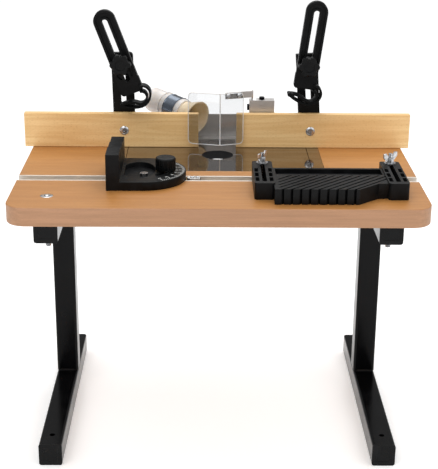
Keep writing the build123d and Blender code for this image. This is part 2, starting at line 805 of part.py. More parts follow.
# ================================================================ hold-downs
arm_back = fence_from_front - arm_front_of_fence
arm_front = arm_back - arm_thickness
for side, name in ((-1, "left"), (1, "right")):
    post_plane = toward_front(side * face_bolt_x, post_back, top_z + face_bolt_height, post_leans[name])
    with BuildPart() as post:
        with BuildSketch(post_plane):
            Circle(post_width / 2)
            Rectangle(post_width, post_height, align=(Align.CENTER, Align.MIN))
            slot_middle = (post_slot_bottom + post_slot_top) / 2
            with Locations((0, slot_middle)):
                slot_run = post_slot_top - post_slot_bottom
                slot_width = 2 * arm_bolt_radius + 0.4
                SlotCenterToCenter(slot_run, slot_width, rotation=90, mode=Mode.SUBTRACT)
            Circle(face_bolt_radius + running_gap, mode=Mode.SUBTRACT)
        extrude(amount=post_thickness)
        top_corners = post.edges().filter_by(Axis.Y).group_by(Axis.Z)[-1]
        fillet(top_corners, 6)
    save(post, f"hold_post_{name}")

    lean = math.radians(post_leans[name])
    bolt_x = side * face_bolt_x - arm_bolt_reach[name] * math.sin(lean)
    bolt_z = top_z + face_bolt_height + arm_bolt_reach[name] * math.cos(lean)
    bolt_back = toward_front(bolt_x, post_back + slide_gap, bolt_z)
    spacer_back = post_front - slide_gap
    with BuildPart() as spacer:
        place = toward_front(bolt_x, spacer_back, bolt_z)
        spacer_length = spacer_back - arm_back - slide_gap
        disc(place, 0, spacer_length, spacer_radius)
        disc(place, 0, spacer_length, arm_bolt_radius + running_gap, Mode.SUBTRACT)
    save(spacer, f"hold_spacer_{name}")

    seat_distance = post_back + slide_gap - arm_front + slide_gap
    with BuildPart() as arm_bolt:
        disc(bolt_back, -arm_bolt_head_height, 0, arm_bolt_head_radius)
        chamfer(arm_bolt.faces().sort_by(Axis.Y)[-1].edges(), 1)
        disc(bolt_back, 0, seat_distance + star_knob_height - thread_end - 1, arm_bolt_radius)
    save(arm_bolt, f"hold_bolt_{name}")
    arm_knob = star_knob(
        bolt_back.offset(seat_distance),
        star_knob_radius,
        star_knob_height,
        6,
        arm_bolt_radius + running_gap,
        star_knob_height - 4,
    )
    save(arm_knob, f"hold_knob_{name}")

    shift = arm_bolt_along_slot[name]
    arm_lean = math.radians(arm_leans[name] if side < 0 else -arm_leans[name])
    arm_x = bolt_x - shift * math.sin(arm_lean)
    arm_z = bolt_z + shift * math.cos(arm_lean)
    arm_plane = toward_front(arm_x, arm_back, arm_z, math.degrees(arm_lean))
    arm_middle = (arm_top + arm_bottom) / 2
    slot_middle = (arm_slot_top + arm_slot_bottom) / 2
    slot_run = arm_slot_top - arm_slot_bottom - arm_slot_width
    with BuildPart() as arm:
        with BuildSketch(arm_plane):
            with Locations((0, arm_middle)):
                SlotOverall(arm_top - arm_bottom, arm_width, rotation=90)
            with Locations((0, (arm_block_top + arm_bottom) / 2)):
                RectangleRounded(arm_block_width, arm_block_top - arm_bottom, 5)
            with Locations((0, slot_middle)):
                SlotCenterToCenter(slot_run, arm_slot_width, rotation=90, mode=Mode.SUBTRACT)
        extrude(amount=arm_thickness)
        with BuildSketch(arm_plane.offset(arm_thickness - arm_pocket_depth)):
            with Locations((0, (arm_top + arm_slot_bottom) / 2)):
                pocket_length = arm_top - arm_slot_bottom - 2 * arm_rim
                SlotOverall(pocket_length, arm_width - 2 * arm_rim, rotation=90)
            with Locations((0, slot_middle)):
                rim_width = arm_slot_width + 2 * arm_rim
                SlotCenterToCenter(slot_run, rim_width, rotation=90, mode=Mode.SUBTRACT)
        extrude(amount=arm_pocket_depth, mode=Mode.SUBTRACT)
        with BuildSketch(arm_plane):
            with BuildLine() as outer_leaf:
                bend = TangentArc((14, -39.5), (27, -56), tangent=(1, 0))
                sole = TangentArc(bend @ 1, (3, -71.6), tangent=bend % 1)
                TangentArc(sole @ 1, (-23, -60.5), tangent=sole % 1)
            trace(line_width=shoe_leaf)
            with BuildLine() as inner_leaf:
                bend = TangentArc((12, -48.2), (20, -54.5), tangent=(1, 0))
                sole = TangentArc(bend @ 1, (3, -65.2), tangent=bend % 1)
                TangentArc(sole @ 1, (-22, -58.7), tangent=sole % 1)
            trace(line_width=shoe_leaf)
            with Locations((-23.5, -59.5)):
                Circle(3)
        extrude(amount=shoe_depth)
    save(arm, f"hold_arm_{name}")

# ================================================================ mitre gauge
gauge_y = y_at(track_from_front)
bar_bottom_z = track_floor_z + slide_gap
bar_top_z = bar_bottom_z + gauge_bar_height
bar_middle = (gauge_bar_left + gauge_bar_right) / 2
stud_x = gauge_pivot_x + gauge_knob_reach
pointer_screw_xs = (gauge_bar_right - 4.5, gauge_bar_right - 12.5)
head_top_z = top_z + head_lift + head_thickness

with BuildPart() as mitre_bar:
    with BuildSketch(Plane.XY.offset(bar_bottom_z)):
        with Locations((bar_middle, gauge_y)):
            Rectangle(gauge_bar_right - gauge_bar_left, track_slot_width - slide_gap)
    extrude(amount=gauge_bar_height)
    chamfer(mitre_bar.edges().filter_by(Axis.Z), 1)
    with Locations((gauge_pivot_x, gauge_y, bar_top_z), (stud_x, gauge_y, bar_top_z)):
        Hole(radius=gauge_stud_radius + running_gap, depth=gauge_bar_height - 1)
    with Locations(*[(x, gauge_y, bar_top_z) for x in pointer_screw_xs]):
        Hole(radius=1.5 + running_gap, depth=6)
save(mitre_bar, "mitre_bar")

gauge_arc = CenterArc((0, 0), gauge_knob_reach, -gauge_slot_angle, 2 * gauge_slot_angle)
with BuildPart() as mitre_head:
    with BuildSketch(Plane.XY.offset(top_z + head_lift)):
        with Locations((gauge_pivot_x, gauge_y)):
            Circle(head_radius)
            body_length = gauge_pivot_x - head_wall_x
            Rectangle(body_length, 2 * head_radius, align=(Align.MAX, Align.CENTER))
        with Locations((head_wall_x, gauge_y)):
            Rectangle(head_radius, 2 * head_radius, align=(Align.MAX, Align.CENTER), mode=Mode.SUBTRACT)
    extrude(amount=head_thickness)
    # The face block steps down towards the fence in equal thirds.
    step_length = 2 * head_radius / len(face_block_heights)
    for step, height in enumerate(face_block_heights):
        with BuildSketch(Plane.XY.offset(top_z + head_lift)):
            with Locations((head_wall_x, gauge_y - head_radius + step * step_length)):
                Rectangle(face_block_thickness, step_length, align=(Align.MAX, Align.MIN))
        extrude(amount=height)
    with BuildSketch(Plane.XY.offset(head_top_z)):
        with Locations((gauge_pivot_x - 8, gauge_y)):
            Ellipse(26, 42)
        with Locations((head_wall_x + 4, gauge_y)):
            Rectangle(head_radius, 2 * head_radius, align=(Align.MAX, Align.CENTER), mode=Mode.SUBTRACT)
    extrude(amount=head_floor - head_thickness, mode=Mode.SUBTRACT)
    with BuildSketch(Plane.XY.offset(top_z + head_lift)):
        with Locations((gauge_pivot_x, gauge_y)):
            Circle(gauge_stud_radius + running_gap)
            SlotArc(arc=gauge_arc, height=2 * gauge_stud_radius + 0.6)
    extrude(amount=head_thickness, mode=Mode.SUBTRACT)
save(mitre_head, "mitre_head")

pocket_floor_z = top_z + head_lift + head_floor
with BuildPart() as mitre_pivot_screw:
    place = Plane(origin=(gauge_pivot_x, gauge_y, pocket_floor_z + slide_gap))
    disc(place, 0, 3.2, 2 * gauge_stud_radius)
    disc(place, bar_bottom_z - place.origin.Z + 1.2, 0, gauge_stud_radius)
    with BuildSketch(place.offset(3.2)):
        Rectangle(3 * gauge_stud_radius, 1.4)
    extrude(amount=-1.2, mode=Mode.SUBTRACT)
save(mitre_pivot_screw, "mitre_pivot_screw")

washer_seat = Plane(origin=(stud_x, gauge_y, head_top_z + running_gap))
knob_seat = washer_seat.offset(washer_thickness + running_gap)
with BuildPart() as mitre_stud:
    disc(washer_seat, bar_bottom_z - head_top_z + 1.2, gauge_knob_height - 2, gauge_stud_radius)
save(mitre_stud, "mitre_stud")

with BuildPart() as mitre_washer:
    disc(washer_seat, 0, washer_thickness, gauge_washer_radius)
    disc(washer_seat, 0, washer_thickness, gauge_stud_radius + running_gap, Mode.SUBTRACT)
save(mitre_washer, "mitre_washer")

with BuildPart() as mitre_knob:
    flute_count = 12
    disc(knob_seat, 0, gauge_knob_height, gauge_knob_radius)
    fillet(mitre_knob.faces().sort_by(Axis.Z)[-1].edges(), 3)
    with BuildSketch(knob_seat):
        with PolarLocations(gauge_knob_radius + 1, flute_count):
            Circle(2.2)
    extrude(amount=gauge_knob_height - 3, mode=Mode.SUBTRACT)
    disc(knob_seat, 0, gauge_knob_height - 3, gauge_stud_radius + running_gap, Mode.SUBTRACT)
save(mitre_knob, "mitre_knob")

pointer_z = bar_top_z + running_gap
pointer_tip_x = gauge_pivot_x + head_radius + 1.5
pointer_thickness = 2.0
with BuildPart() as mitre_pointer:
    with BuildSketch(Plane.XY.offset(pointer_z)):
        with BuildLine():
            Polyline(
                (pointer_tip_x, gauge_y - 1.5),
                (pointer_tip_x, gauge_y + 1.5),
                (pointer_tip_x + 5, gauge_y + 7),
                (gauge_bar_right - 1, gauge_y + 7),
                (gauge_bar_right - 1, gauge_y - 7),
                (pointer_tip_x + 5, gauge_y - 7),
                close=True,
            )
        make_face()
    extrude(amount=pointer_thickness)
    with Locations(*[(x, gauge_y, pointer_z + pointer_thickness) for x in pointer_screw_xs]):
        Hole(radius=1.5 + running_gap, depth=pointer_thickness)
save(mitre_pointer, "mitre_pointer")

with BuildPart() as pointer_screws:
    for x in pointer_screw_xs:
        place = Plane(origin=(x, gauge_y, pointer_z + pointer_thickness + running_gap))
        cone(place, 0, 1.8, 3.2, 1.8)
        disc(place, -6, 0, 1.5)
save(pointer_screws, "pointer_screws")

# ================================================================ featherboard
block_middles = (
    feather_left_x + feather_block_width / 2,
    feather_right_x - feather_block_width / 2,
)
tooth_run = feather_root_from_front - feather_tip_from_front
feather_bottom_z = top_z + feather_lift
slot_back = track_from_front + t_bolt_radius + bolt_gap
block_length = feather_block_back - feather_block_front
feather_slot_length = slot_back - feather_slot_front
with BuildPart() as featherboard:
    with BuildSketch(Plane.XY.offset(feather_bottom_z)):
        with BuildLine():
            Polyline(
                (feather_left_x + feather_block_width - 2, y_at(feather_block_front)),
                (feather_left_x + feather_block_width - 2, y_at(feather_tip_from_front)),
                (feather_nose_x, y_at(feather_tip_from_front)),
                (feather_nose_x + 31, y_at(feather_block_front + 6)),
                (feather_right_x - feather_block_width + 2, y_at(feather_block_front + 8)),
                (feather_right_x - feather_block_width + 2, y_at(feather_rail_back)),
                (feather_left_x + feather_block_width - 2, y_at(feather_rail_back)),
                close=True,
            )
        make_face()
    extrude(amount=feather_board_height)
    # A shallow well lies between the raised back rail and the roots of the teeth.
    with BuildSketch(Plane.XY.offset(feather_bottom_z + feather_board_height)):
        with Locations((sum(block_middles) / 2, y_at(feather_root_from_front + 4))):
            well_width = block_middles[1] - block_middles[0] - feather_block_width - 6
            well_depth = feather_rail_back - feather_root_from_front - 10
            Rectangle(well_width, well_depth, align=(Align.CENTER, Align.MIN))
    extrude(amount=-6, mode=Mode.SUBTRACT)
    with BuildSketch(Plane.XY.offset(feather_bottom_z)):
        for middle in block_middles:
            with Locations((middle, y_at(feather_block_front + block_length / 2))):
                RectangleRounded(feather_block_width, block_length, 5)
    extrude(amount=feather_block_height)
    # Slanted saw cuts leave springy teeth whose tips face the operator.
    with BuildSketch(Plane.XY.offset(feather_bottom_z)):
        for index in range(-4, feather_gap_count):
            gap_x = feather_first_gap_x + index * feather_gap_pitch
            start_inset = max(0.0, feather_left_x + feather_block_width + 3 - gap_x)
            if index >= 0:
                start_inset = -4.0
            run = tooth_run - start_inset
            with BuildLine():
                Polyline(
                    (gap_x + start_inset, y_at(feather_tip_from_front + start_inset)),
                    (gap_x + start_inset + run, y_at(feather_root_from_front)),
                    (gap_x + start_inset + run + 1.4 * feather_gap_width, y_at(feather_root_from_front)),
                    (
                        gap_x + start_inset + 1.4 * feather_gap_width,
                        y_at(feather_tip_from_front + start_inset),
                    ),
                    close=True,
                )
            make_face()
    extrude(amount=feather_board_height, mode=Mode.SUBTRACT)
    with BuildSketch(Plane.XY.offset(feather_bottom_z)):
        for middle in block_middles:
            with Locations((middle, y_at((feather_slot_front + slot_back) / 2))):
                Rectangle(2 * t_bolt_radius + 0.6, feather_slot_length)
    extrude(amount=feather_block_height, mode=Mode.SUBTRACT)
    # Small pockets either side of the slot, divided by ribs.
    with BuildSketch(Plane.XY.offset(feather_bottom_z + feather_block_height)):
        for middle in block_middles:
            for side in (-1, 1):
                for row in range(3):
                    place = (middle + side * 10.2, y_at(feather_slot_front + 10 + row * 23))
                    with Locations(place):
                        RectangleRounded(5.6, 18, 1.5)
    extrude(amount=-10, mode=Mode.SUBTRACT)
save(featherboard, "featherboard")

with BuildPart() as t_bolts:
    for middle in block_middles:
        place = Plane(origin=(middle, gauge_y, bar_bottom_z))
        head_height = track_height - track_lip - track_floor - 2 * slide_gap
        with BuildSketch(place):
            Rectangle(t_bolt_length, track_cavity_width - 2 * slide_gap)
        extrude(amount=head_height)
        with BuildSketch(place.offset(head_height)):
            Rectangle(t_bolt_length, track_slot_width - 2 * slide_gap)
        extrude(amount=track_lip - 2 * slide_gap)
        disc(place, head_height, top_z - bar_bottom_z + feather_block_height + 16, t_bolt_radius)
save(t_bolts, "t_bolts")

nut_seats = []
with BuildPart() as feather_washers:
    for middle in block_middles:
        place = Plane(origin=(middle, gauge_y, feather_bottom_z + feather_block_height + running_gap))
        nut_seats.append(place.offset(washer_thickness + running_gap))
        disc(place, 0, washer_thickness, 9)
        disc(place, 0, washer_thickness, t_bolt_radius + running_gap, Mode.SUBTRACT)
save(feather_washers, "feather_washers")

for name, seat, turn in (("left", nut_seats[0], 62.0), ("right", nut_seats[1], 38.0)):
    wing_plane = Plane(
        origin=seat.origin,
        x_dir=(math.cos(math.radians(turn)), math.sin(math.radians(turn)), 0),
        z_dir=(math.sin(math.radians(turn)), -math.cos(math.radians(turn)), 0),
    )
    with BuildPart() as wing_nut:
        cone(seat, 0, 8, 6, 5)
        with BuildSketch(wing_plane.offset(-1.2)):
            for side in (-1, 1):
                with BuildLine():
                    tip = side * wing_span / 2
                    Polyline(
                        (side * 3, 1.5),
                        (side * 5.5, 1.5),
                        (tip, 9),
                        (tip, 15),
                        (side * 9, 15.5),
                        (side * 3, 7.5),
                        close=True,
                    )
                make_face()
        extrude(amount=2.4)
        disc(seat, 0, 16, t_bolt_radius + running_gap, Mode.SUBTRACT)
    save(wing_nut, f"wing_nut_{name}")
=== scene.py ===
"""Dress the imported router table: real finishes, turned fasteners, weld beads, gauge scale and studio."""
import json
import logging
import math
from collections.abc import Callable, Iterable
from dataclasses import dataclass
from enum import Enum

import bpy
import numpy as np
from mathutils import Matrix, Vector


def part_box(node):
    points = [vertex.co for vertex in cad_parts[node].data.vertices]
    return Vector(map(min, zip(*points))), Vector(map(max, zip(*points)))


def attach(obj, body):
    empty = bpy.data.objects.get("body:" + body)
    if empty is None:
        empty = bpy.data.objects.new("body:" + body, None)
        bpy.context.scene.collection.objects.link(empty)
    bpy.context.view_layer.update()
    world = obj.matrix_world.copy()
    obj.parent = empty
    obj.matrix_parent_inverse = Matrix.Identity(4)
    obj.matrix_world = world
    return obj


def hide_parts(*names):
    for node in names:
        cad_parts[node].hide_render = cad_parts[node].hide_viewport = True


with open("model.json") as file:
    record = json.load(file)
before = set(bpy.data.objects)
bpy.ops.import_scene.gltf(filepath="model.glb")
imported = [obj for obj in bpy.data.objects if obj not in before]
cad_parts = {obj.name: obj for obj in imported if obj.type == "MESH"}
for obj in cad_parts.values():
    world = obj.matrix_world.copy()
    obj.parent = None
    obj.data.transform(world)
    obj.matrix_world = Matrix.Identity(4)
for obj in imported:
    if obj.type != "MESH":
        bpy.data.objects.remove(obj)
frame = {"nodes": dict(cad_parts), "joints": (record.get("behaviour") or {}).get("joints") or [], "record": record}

log = logging.getLogger("router_table")
MM = 0.001
SIDES = ("left", "right")

# Corner points and faces of one closed shape.
Shape = tuple[list[Vector], list[tuple[int, ...]]]
# An outline's radius at an angle.
Outline = Callable[[float], float]

# Rounding of sharp edges: faces this flat are joined first, and edges sharper than this are rounded.
WELD_MM = 0.002
FLAT_DEG = 0.6
SHARP_DEG = 40.0
# A path that runs this much along Y takes any direction across it.
NEARLY_ALONG = 0.9


# ------------------------------------------------------------------ shader helpers
def linear(hex_colour: str) -> tuple[float, float, float, float]:
    """Turn an sRGB hex colour into linear light.

    Args:
        hex_colour: Six hex digits, red first.

    Returns:
        Red, green, blue and an alpha of one.
    """
    shares = [int(hex_colour[at:at + 2], 16) / 255 for at in (0, 2, 4)]
    light = [s / 12.92 if s <= 0.04045 else ((s + 0.055) / 1.055) ** 2.4 for s in shares]
    return (light[0], light[1], light[2], 1.0)


def add_node(
    tree: bpy.types.NodeTree,
    kind: str,
    settings: dict | None = None,
    inputs: dict | None = None,
) -> bpy.types.Node:
    """Add a node, set it up and link it.

    Args:
        tree: The material's node tree.
        kind: Blender's class name, without "ShaderNode".
        settings: Values for the node's own properties.
        inputs: A plain value or an output socket for each input, by name or place.

    Returns:
        The new node.
    """
    made = tree.nodes.new("ShaderNode" + kind)
    for key, value in (settings or {}).items():
        setattr(made, key, value)
    for key, value in (inputs or {}).items():
        if isinstance(value, bpy.types.NodeSocket):
            tree.links.new(value, made.inputs[key])
        else:
            made.inputs[key].default_value = value
    return made


def noise(
    tree: bpy.types.NodeTree, size_mm: tuple[float, float, float], detail: float = 2.0
) -> bpy.types.NodeSocket:
    """Make a noise whose features have a real size along X, Y and Z.

    Args:
        tree: The material's node tree.
        size_mm: Feature size along each axis of the table, in millimetres.
        detail: Octaves of finer noise on top.

    Returns:
        The noise's value, from zero to one.
    """
    place = add_node(tree, "TexCoord").outputs["Object"]
    scale = tuple(1 / (size * MM) for size in size_mm)
    sized = add_node(tree, "Mapping", inputs={"Vector": place, "Scale": scale}).outputs[0]
    return add_node(tree, "TexNoise", inputs={"Vector": sized, "Scale": 1.0, "Detail": detail}).outputs[0]


def remap(
    tree: bpy.types.NodeTree,
    value: bpy.types.NodeSocket,
    source: tuple[float, float],
    target: tuple[float, float],
) -> bpy.types.NodeSocket:
    """Map a value from one range to another, clamped at both ends.

    Args:
        tree: The material's node tree.
        value: The value to map.
        source: The range that is read.
        target: The range that comes out.

    Returns:
        The mapped value.
    """
    limits = {
        "Value": value, "From Min": source[0], "From Max": source[1],
        "To Min": target[0], "To Max": target[1],
    }
    return add_node(tree, "MapRange", {"clamp": True}, limits).outputs[0]


def mix(
    tree: bpy.types.NodeTree,
    share: bpy.types.NodeSocket,
    first: bpy.types.NodeSocket | tuple[float, float, float, float],
    second: bpy.types.NodeSocket | tuple[float, float, float, float],
) -> bpy.types.NodeSocket:
    """Blend two colours by a share.

    Args:
        tree: The material's node tree.
        share: How much of the second colour shows.
        first: The colour at a share of zero.
        second: The colour at a share of one.

    Returns:
        The blended colour.
    """
    inputs = {0: share, 6: first, 7: second}
    return add_node(tree, "Mix", {"data_type": "RGBA"}, inputs).outputs[2]


def bump(
    tree: bpy.types.NodeTree, height: bpy.types.NodeSocket, depth_mm: float, strength: float
) -> bpy.types.NodeSocket:
    """Turn a height pattern into a normal.

    Args:
        tree: The material's node tree.
        height: The height pattern, from zero to one.
        depth_mm: The relief's real depth.
        strength: How strongly it bends the light.

    Returns:
        The normal.
    """
    inputs = {"Height": height, "Distance": depth_mm * MM, "Strength": strength}
    return add_node(tree, "Bump", inputs=inputs).outputs[0]


# ------------------------------------------------------------------ finishes
@dataclass(frozen=True)
class Finish:
    """A material's name, its colour and the numbers of its shader."""

    name: str
    colour: str
    roughness: float
    metallic: float = 0.0
    slot: str = ""

    def material(self) -> bpy.types.Material:
        """Make this finish's Blender material on first use.

        Returns:
            The material.
        """
        found = bpy.data.materials.get(self.name)
        if found is not None:
            return found
        made = bpy.data.materials.new(self.name)
        made.use_nodes = True
        shader = made.node_tree.nodes["Principled BSDF"]
        shader.inputs["Base Color"].default_value = linear(self.colour)
        shader.inputs["Roughness"].default_value = self.roughness
        shader.inputs["Metallic"].default_value = self.metallic
        self.pattern(made.node_tree, shader.inputs)
        return made

    def pattern(self, tree: bpy.types.NodeTree, sockets: bpy.types.NodeInputs) -> None:
        """Link the finish's pattern to its shader's sockets."""
        raise NotImplementedError


@dataclass(frozen=True)
class Beech(Finish):
    """Beech with its grain along the table: straight lines, growth bands and short dark flecks."""

    dark: str = "B98A58"
    fleck: str = "9A6A40"
    band_mm: float = 34.0
    band_count: float = 9.0
    band_share: float = 0.30
    streak_mm: float = 7.0
    line_mm: float = 0.8
    fleck_share: float = 0.35
    relief_mm: float = 0.03

    def pattern(self, tree: bpy.types.NodeTree, sockets: bpy.types.NodeInputs) -> None:
        """Layer growth bands, streaks, pore lines and ray flecks.

        Args:
            tree: The material's node tree.
            sockets: The shader's inputs.
        """
        cross = self.band_mm
        growth = noise(tree, (cross * 11, cross, cross), 1.0)
        rings = add_node(tree, "Math", {"operation": "MULTIPLY"}, {0: growth, 1: self.band_count * math.tau})
        wave = add_node(tree, "Math", {"operation": "SINE"}, {0: rings.outputs[0]}).outputs[0]
        bands = remap(tree, wave, (-0.2, 1.0), (0.0, self.band_share))
        streaks = remap(tree, noise(tree, (150, self.streak_mm, self.streak_mm), 3.0), (0.35, 0.7), (0, 0.55))
        colour = mix(tree, streaks, linear(self.colour), linear(self.dark))
        colour = mix(tree, bands, colour, linear(self.dark))
        lines = noise(tree, (60, self.line_mm, self.line_mm), 2.0)
        colour = mix(tree, remap(tree, lines, (0.5, 0.75), (0, 0.35)), colour, linear(self.dark))
        # Beech shows rays as flecks 2 to 4 mm long, drawn a little coarser than life so that they show.
        flecks = noise(tree, (4.5, 0.7, 0.7), 0.0)
        shown = remap(tree, flecks, (0.62, 0.74), (0, self.fleck_share))
        colour = mix(tree, shown, colour, linear(self.fleck))
        tree.links.new(colour, sockets["Base Color"])
        rough = remap(tree, lines, (0.3, 0.7), (self.roughness - 0.05, self.roughness + 0.08))
        tree.links.new(rough, sockets["Roughness"])
        tree.links.new(bump(tree, lines, self.relief_mm, 0.35), sockets["Normal"])


@dataclass(frozen=True)
class Chipboard(Finish):
    """Pressed chipboard core: glued wood chips of two tones with open pores."""

    dark: str = "7A5C3C"
    chip_mm: float = 2.5

    def pattern(self, tree: bpy.types.NodeTree, sockets: bpy.types.NodeInputs) -> None:
        """Mix two chip tones cell by cell.

        Args:
            tree: The material's node tree.
            sockets: The shader's inputs.
        """
        chips = noise(tree, (self.chip_mm * 2, self.chip_mm, self.chip_mm / 2), 3.0)
        colour = mix(tree, remap(tree, chips, (0.35, 0.65), (0, 1)), linear(self.colour), linear(self.dark))
        tree.links.new(colour, sockets["Base Color"])
        tree.links.new(bump(tree, chips, 0.3, 0.8), sockets["Normal"])


@dataclass(frozen=True)
class DrawnMetal(Finish):
    """Metal with fine lines along one direction, from extruding, grinding or brushing."""

    line_mm: tuple[float, float, float] = (60.0, 0.35, 0.35)
    spread: float = 0.08
    relief_mm: float = 0.01

    def pattern(self, tree: bpy.types.NodeTree, sockets: bpy.types.NodeInputs) -> None:
        """Vary the gloss line by line, with soft handling marks over it.

        Args:
            tree: The material's node tree.
            sockets: The shader's inputs.
        """
        lines = noise(tree, self.line_mm, 2.0)
        marks = noise(tree, (28.0, 22.0, 22.0), 4.0)
        both = add_node(tree, "Math", {"operation": "ADD"}, {0: lines, 1: marks}).outputs[0]
        low, high = self.roughness - self.spread, self.roughness + self.spread
        tree.links.new(remap(tree, both, (0.7, 1.3), (max(low, 0.03), high)), sockets["Roughness"])
        shade = remap(tree, marks, (0.3, 0.7), (0.0, 0.16))
        tree.links.new(mix(tree, shade, linear(self.colour), linear("3C3C3E")), sockets["Base Color"])
        tree.links.new(bump(tree, lines, self.relief_mm, 0.25), sockets["Normal"])


@dataclass(frozen=True)
class GalvanisedSheet(Finish):
    """Zinc-coated sheet steel: a satin grey with faint zinc crystals, each a little apart in tone."""

    crystal_mm: float = 11.0

    def pattern(self, tree: bpy.types.NodeTree, sockets: bpy.types.NodeInputs) -> None:
        """Give each zinc crystal a tone and a gloss.

        Args:
            tree: The material's node tree.
            sockets: The shader's inputs.
        """
        place = add_node(tree, "TexCoord").outputs["Object"]
        cells = add_node(tree, "TexVoronoi", inputs={"Vector": place, "Scale": 1 / (self.crystal_mm * MM)})
        tone = add_node(tree, "SeparateColor", inputs={0: cells.outputs["Color"]})
        shade = remap(tree, tone.outputs[0], (0, 1), (0.0, 0.14))
        tree.links.new(mix(tree, shade, linear(self.colour), linear("75757A")), sockets["Base Color"])
        gloss = remap(tree, tone.outputs[1], (0, 1), (self.roughness - 0.05, self.roughness + 0.05))
        tree.links.new(gloss, sockets["Roughness"])
        tree.links.new(bump(tree, noise(tree, (1.5, 1.5, 1.5), 3.0), 0.02, 0.3), sockets["Normal"])


@dataclass(frozen=True)
class PlatedMetal(Finish):
    """Small plated hardware: bright zinc or black oxide with a slightly cloudy gloss."""

    cloud_mm: float = 3.0
    clouded: str = "8A8C90"

    def pattern(self, tree: bpy.types.NodeTree, sockets: bpy.types.NodeInputs) -> None:
        """Cloud the plating's colour and gloss.

        Args:
            tree: The material's node tree.
            sockets: The shader's inputs.
        """
        cloud = noise(tree, (self.cloud_mm,) * 3, 4.0)
        share = remap(tree, cloud, (0.4, 0.7), (0, 0.5))
        tree.links.new(mix(tree, share, linear(self.colour), linear(self.clouded)), sockets["Base Color"])
        gloss = remap(tree, cloud, (0.3, 0.7), (self.roughness - 0.06, self.roughness + 0.14))
        tree.links.new(gloss, sockets["Roughness"])
        tree.links.new(bump(tree, noise(tree, (0.5, 0.5, 0.5)), 0.01, 0.3), sockets["Normal"])


@dataclass(frozen=True)
class PowderCoat(Finish):
    """Baked powder coat on steel: a glossy skin with the slight waviness of orange peel."""

    peel_mm: float = 1.8
    specular: float = 0.12
    dusty: str = "101012"

    def pattern(self, tree: bpy.types.NodeTree, sockets: bpy.types.NodeInputs) -> None:
        """Add the orange peel, and dust that dulls it in places.

        Args:
            tree: The material's node tree.
            sockets: The shader's inputs.
        """
        sockets["Specular IOR Level"].default_value = self.specular
        peel = noise(tree, (self.peel_mm,) * 3, 1.0)
        tree.links.new(bump(tree, peel, 0.04, 0.4), sockets["Normal"])
        dust = noise(tree, (45.0, 45.0, 45.0), 4.0)
        gloss = remap(tree, dust, (0.35, 0.7), (self.roughness, self.roughness + 0.1))
        tree.links.new(gloss, sockets["Roughness"])
        share = remap(tree, dust, (0.45, 0.75), (0, 0.6))
        tree.links.new(mix(tree, share, linear(self.colour), linear(self.dusty)), sockets["Base Color"])


@dataclass(frozen=True)
class MouldedPlastic(Finish):
    """Injection-moulded plastic with the fine spark texture of its tool, rubbed smoother in places."""

    grit_mm: float = 0.6
    depth_mm: float = 0.03
    rubbed: str = "1E1F21"
    specular: float = 0.15

    def pattern(self, tree: bpy.types.NodeTree, sockets: bpy.types.NodeInputs) -> None:
        """Add tool grit, flow marks and rubbed patches.

        Args:
            tree: The material's node tree.
            sockets: The shader's inputs.
        """
        sockets["Specular IOR Level"].default_value = self.specular
        grit = noise(tree, (self.grit_mm,) * 3, 1.0)
        flow = noise(tree, (18.0, 11.0, 14.0), 3.0)
        tree.links.new(bump(tree, grit, self.depth_mm, 0.5), sockets["Normal"])
        gloss = remap(tree, flow, (0.35, 0.65), (self.roughness - 0.08, self.roughness + 0.1))
        tree.links.new(gloss, sockets["Roughness"])
        share = remap(tree, flow, (0.45, 0.7), (0, 0.4))
        tree.links.new(mix(tree, share, linear(self.colour), linear(self.rubbed)), sockets["Base Color"])


@dataclass(frozen=True)
class MilkyPlastic(Finish):
    """Milky soft PVC or ABS wall that light soaks through, with faint extrusion rings."""

    shade: str = "CFC6BE"
    soak: float = 0.5
    radius_mm: float = 6.0

    def pattern(self, tree: bpy.types.NodeTree, sockets: bpy.types.NodeInputs) -> None:
        """Scatter light in the wall and cloud its colour.

        Args:
            tree: The material's node tree.
            sockets: The shader's inputs.
        """
        sockets["Subsurface Weight"].default_value = self.soak
        sockets["Subsurface Radius"].default_value = (1.0, 0.85, 0.7)
        sockets["Subsurface Scale"].default_value = self.radius_mm * MM
        cloud = noise(tree, (12.0, 12.0, 30.0), 4.0)
        share = remap(tree, cloud, (0.35, 0.7), (0, 0.8))
        tree.links.new(mix(tree, share, linear(self.colour), linear(self.shade)), sockets["Base Color"])
        gloss = remap(tree, cloud, (0.3, 0.7), (self.roughness, self.roughness + 0.1))
        tree.links.new(gloss, sockets["Roughness"])
        tree.links.new(bump(tree, noise(tree, (1.2, 1.2, 1.2)), 0.02, 0.3), sockets["Normal"])


@dataclass(frozen=True)
class CastAcrylic(Finish):
    """Clear cast acrylic sheet with flame-polished edges and a few wiping marks."""

    ior: float = 1.49

    def pattern(self, tree: bpy.types.NodeTree, sockets: bpy.types.NodeInputs) -> None:
        """Let light through and haze the surface where it was wiped.

        Args:
            tree: The material's node tree.
            sockets: The shader's inputs.
        """
        sockets["Transmission Weight"].default_value = 1.0
        sockets["IOR"].default_value = self.ior
        wiped = noise(tree, (30.0, 30.0, 1.5), 3.0)
        tree.links.new(remap(tree, wiped, (0.55, 0.8), (self.roughness, 0.08)), sockets["Roughness"])


# Melamine board printed as beech: a satin, even tan with soft streaks and little relief.
BEECH_MELAMINE = Beech(
    "beech_print_melamine", "BD8448", 0.38, slot="laminated_board", dark="A97038", fleck="945F30",
    band_share=0.16, streak_mm=11.0, fleck_share=0.22, relief_mm=0.01,
)
# The edge strip is a thicker, pinker print than the top.
BEECH_EDGE_BAND = Beech(
    "beech_print_edge_band", "BC8D6A", 0.45, slot="laminated_board", dark="9C7453", fleck="8A6245",
    band_share=0.12, streak_mm=5.0, fleck_share=0.15, relief_mm=0.01,
)
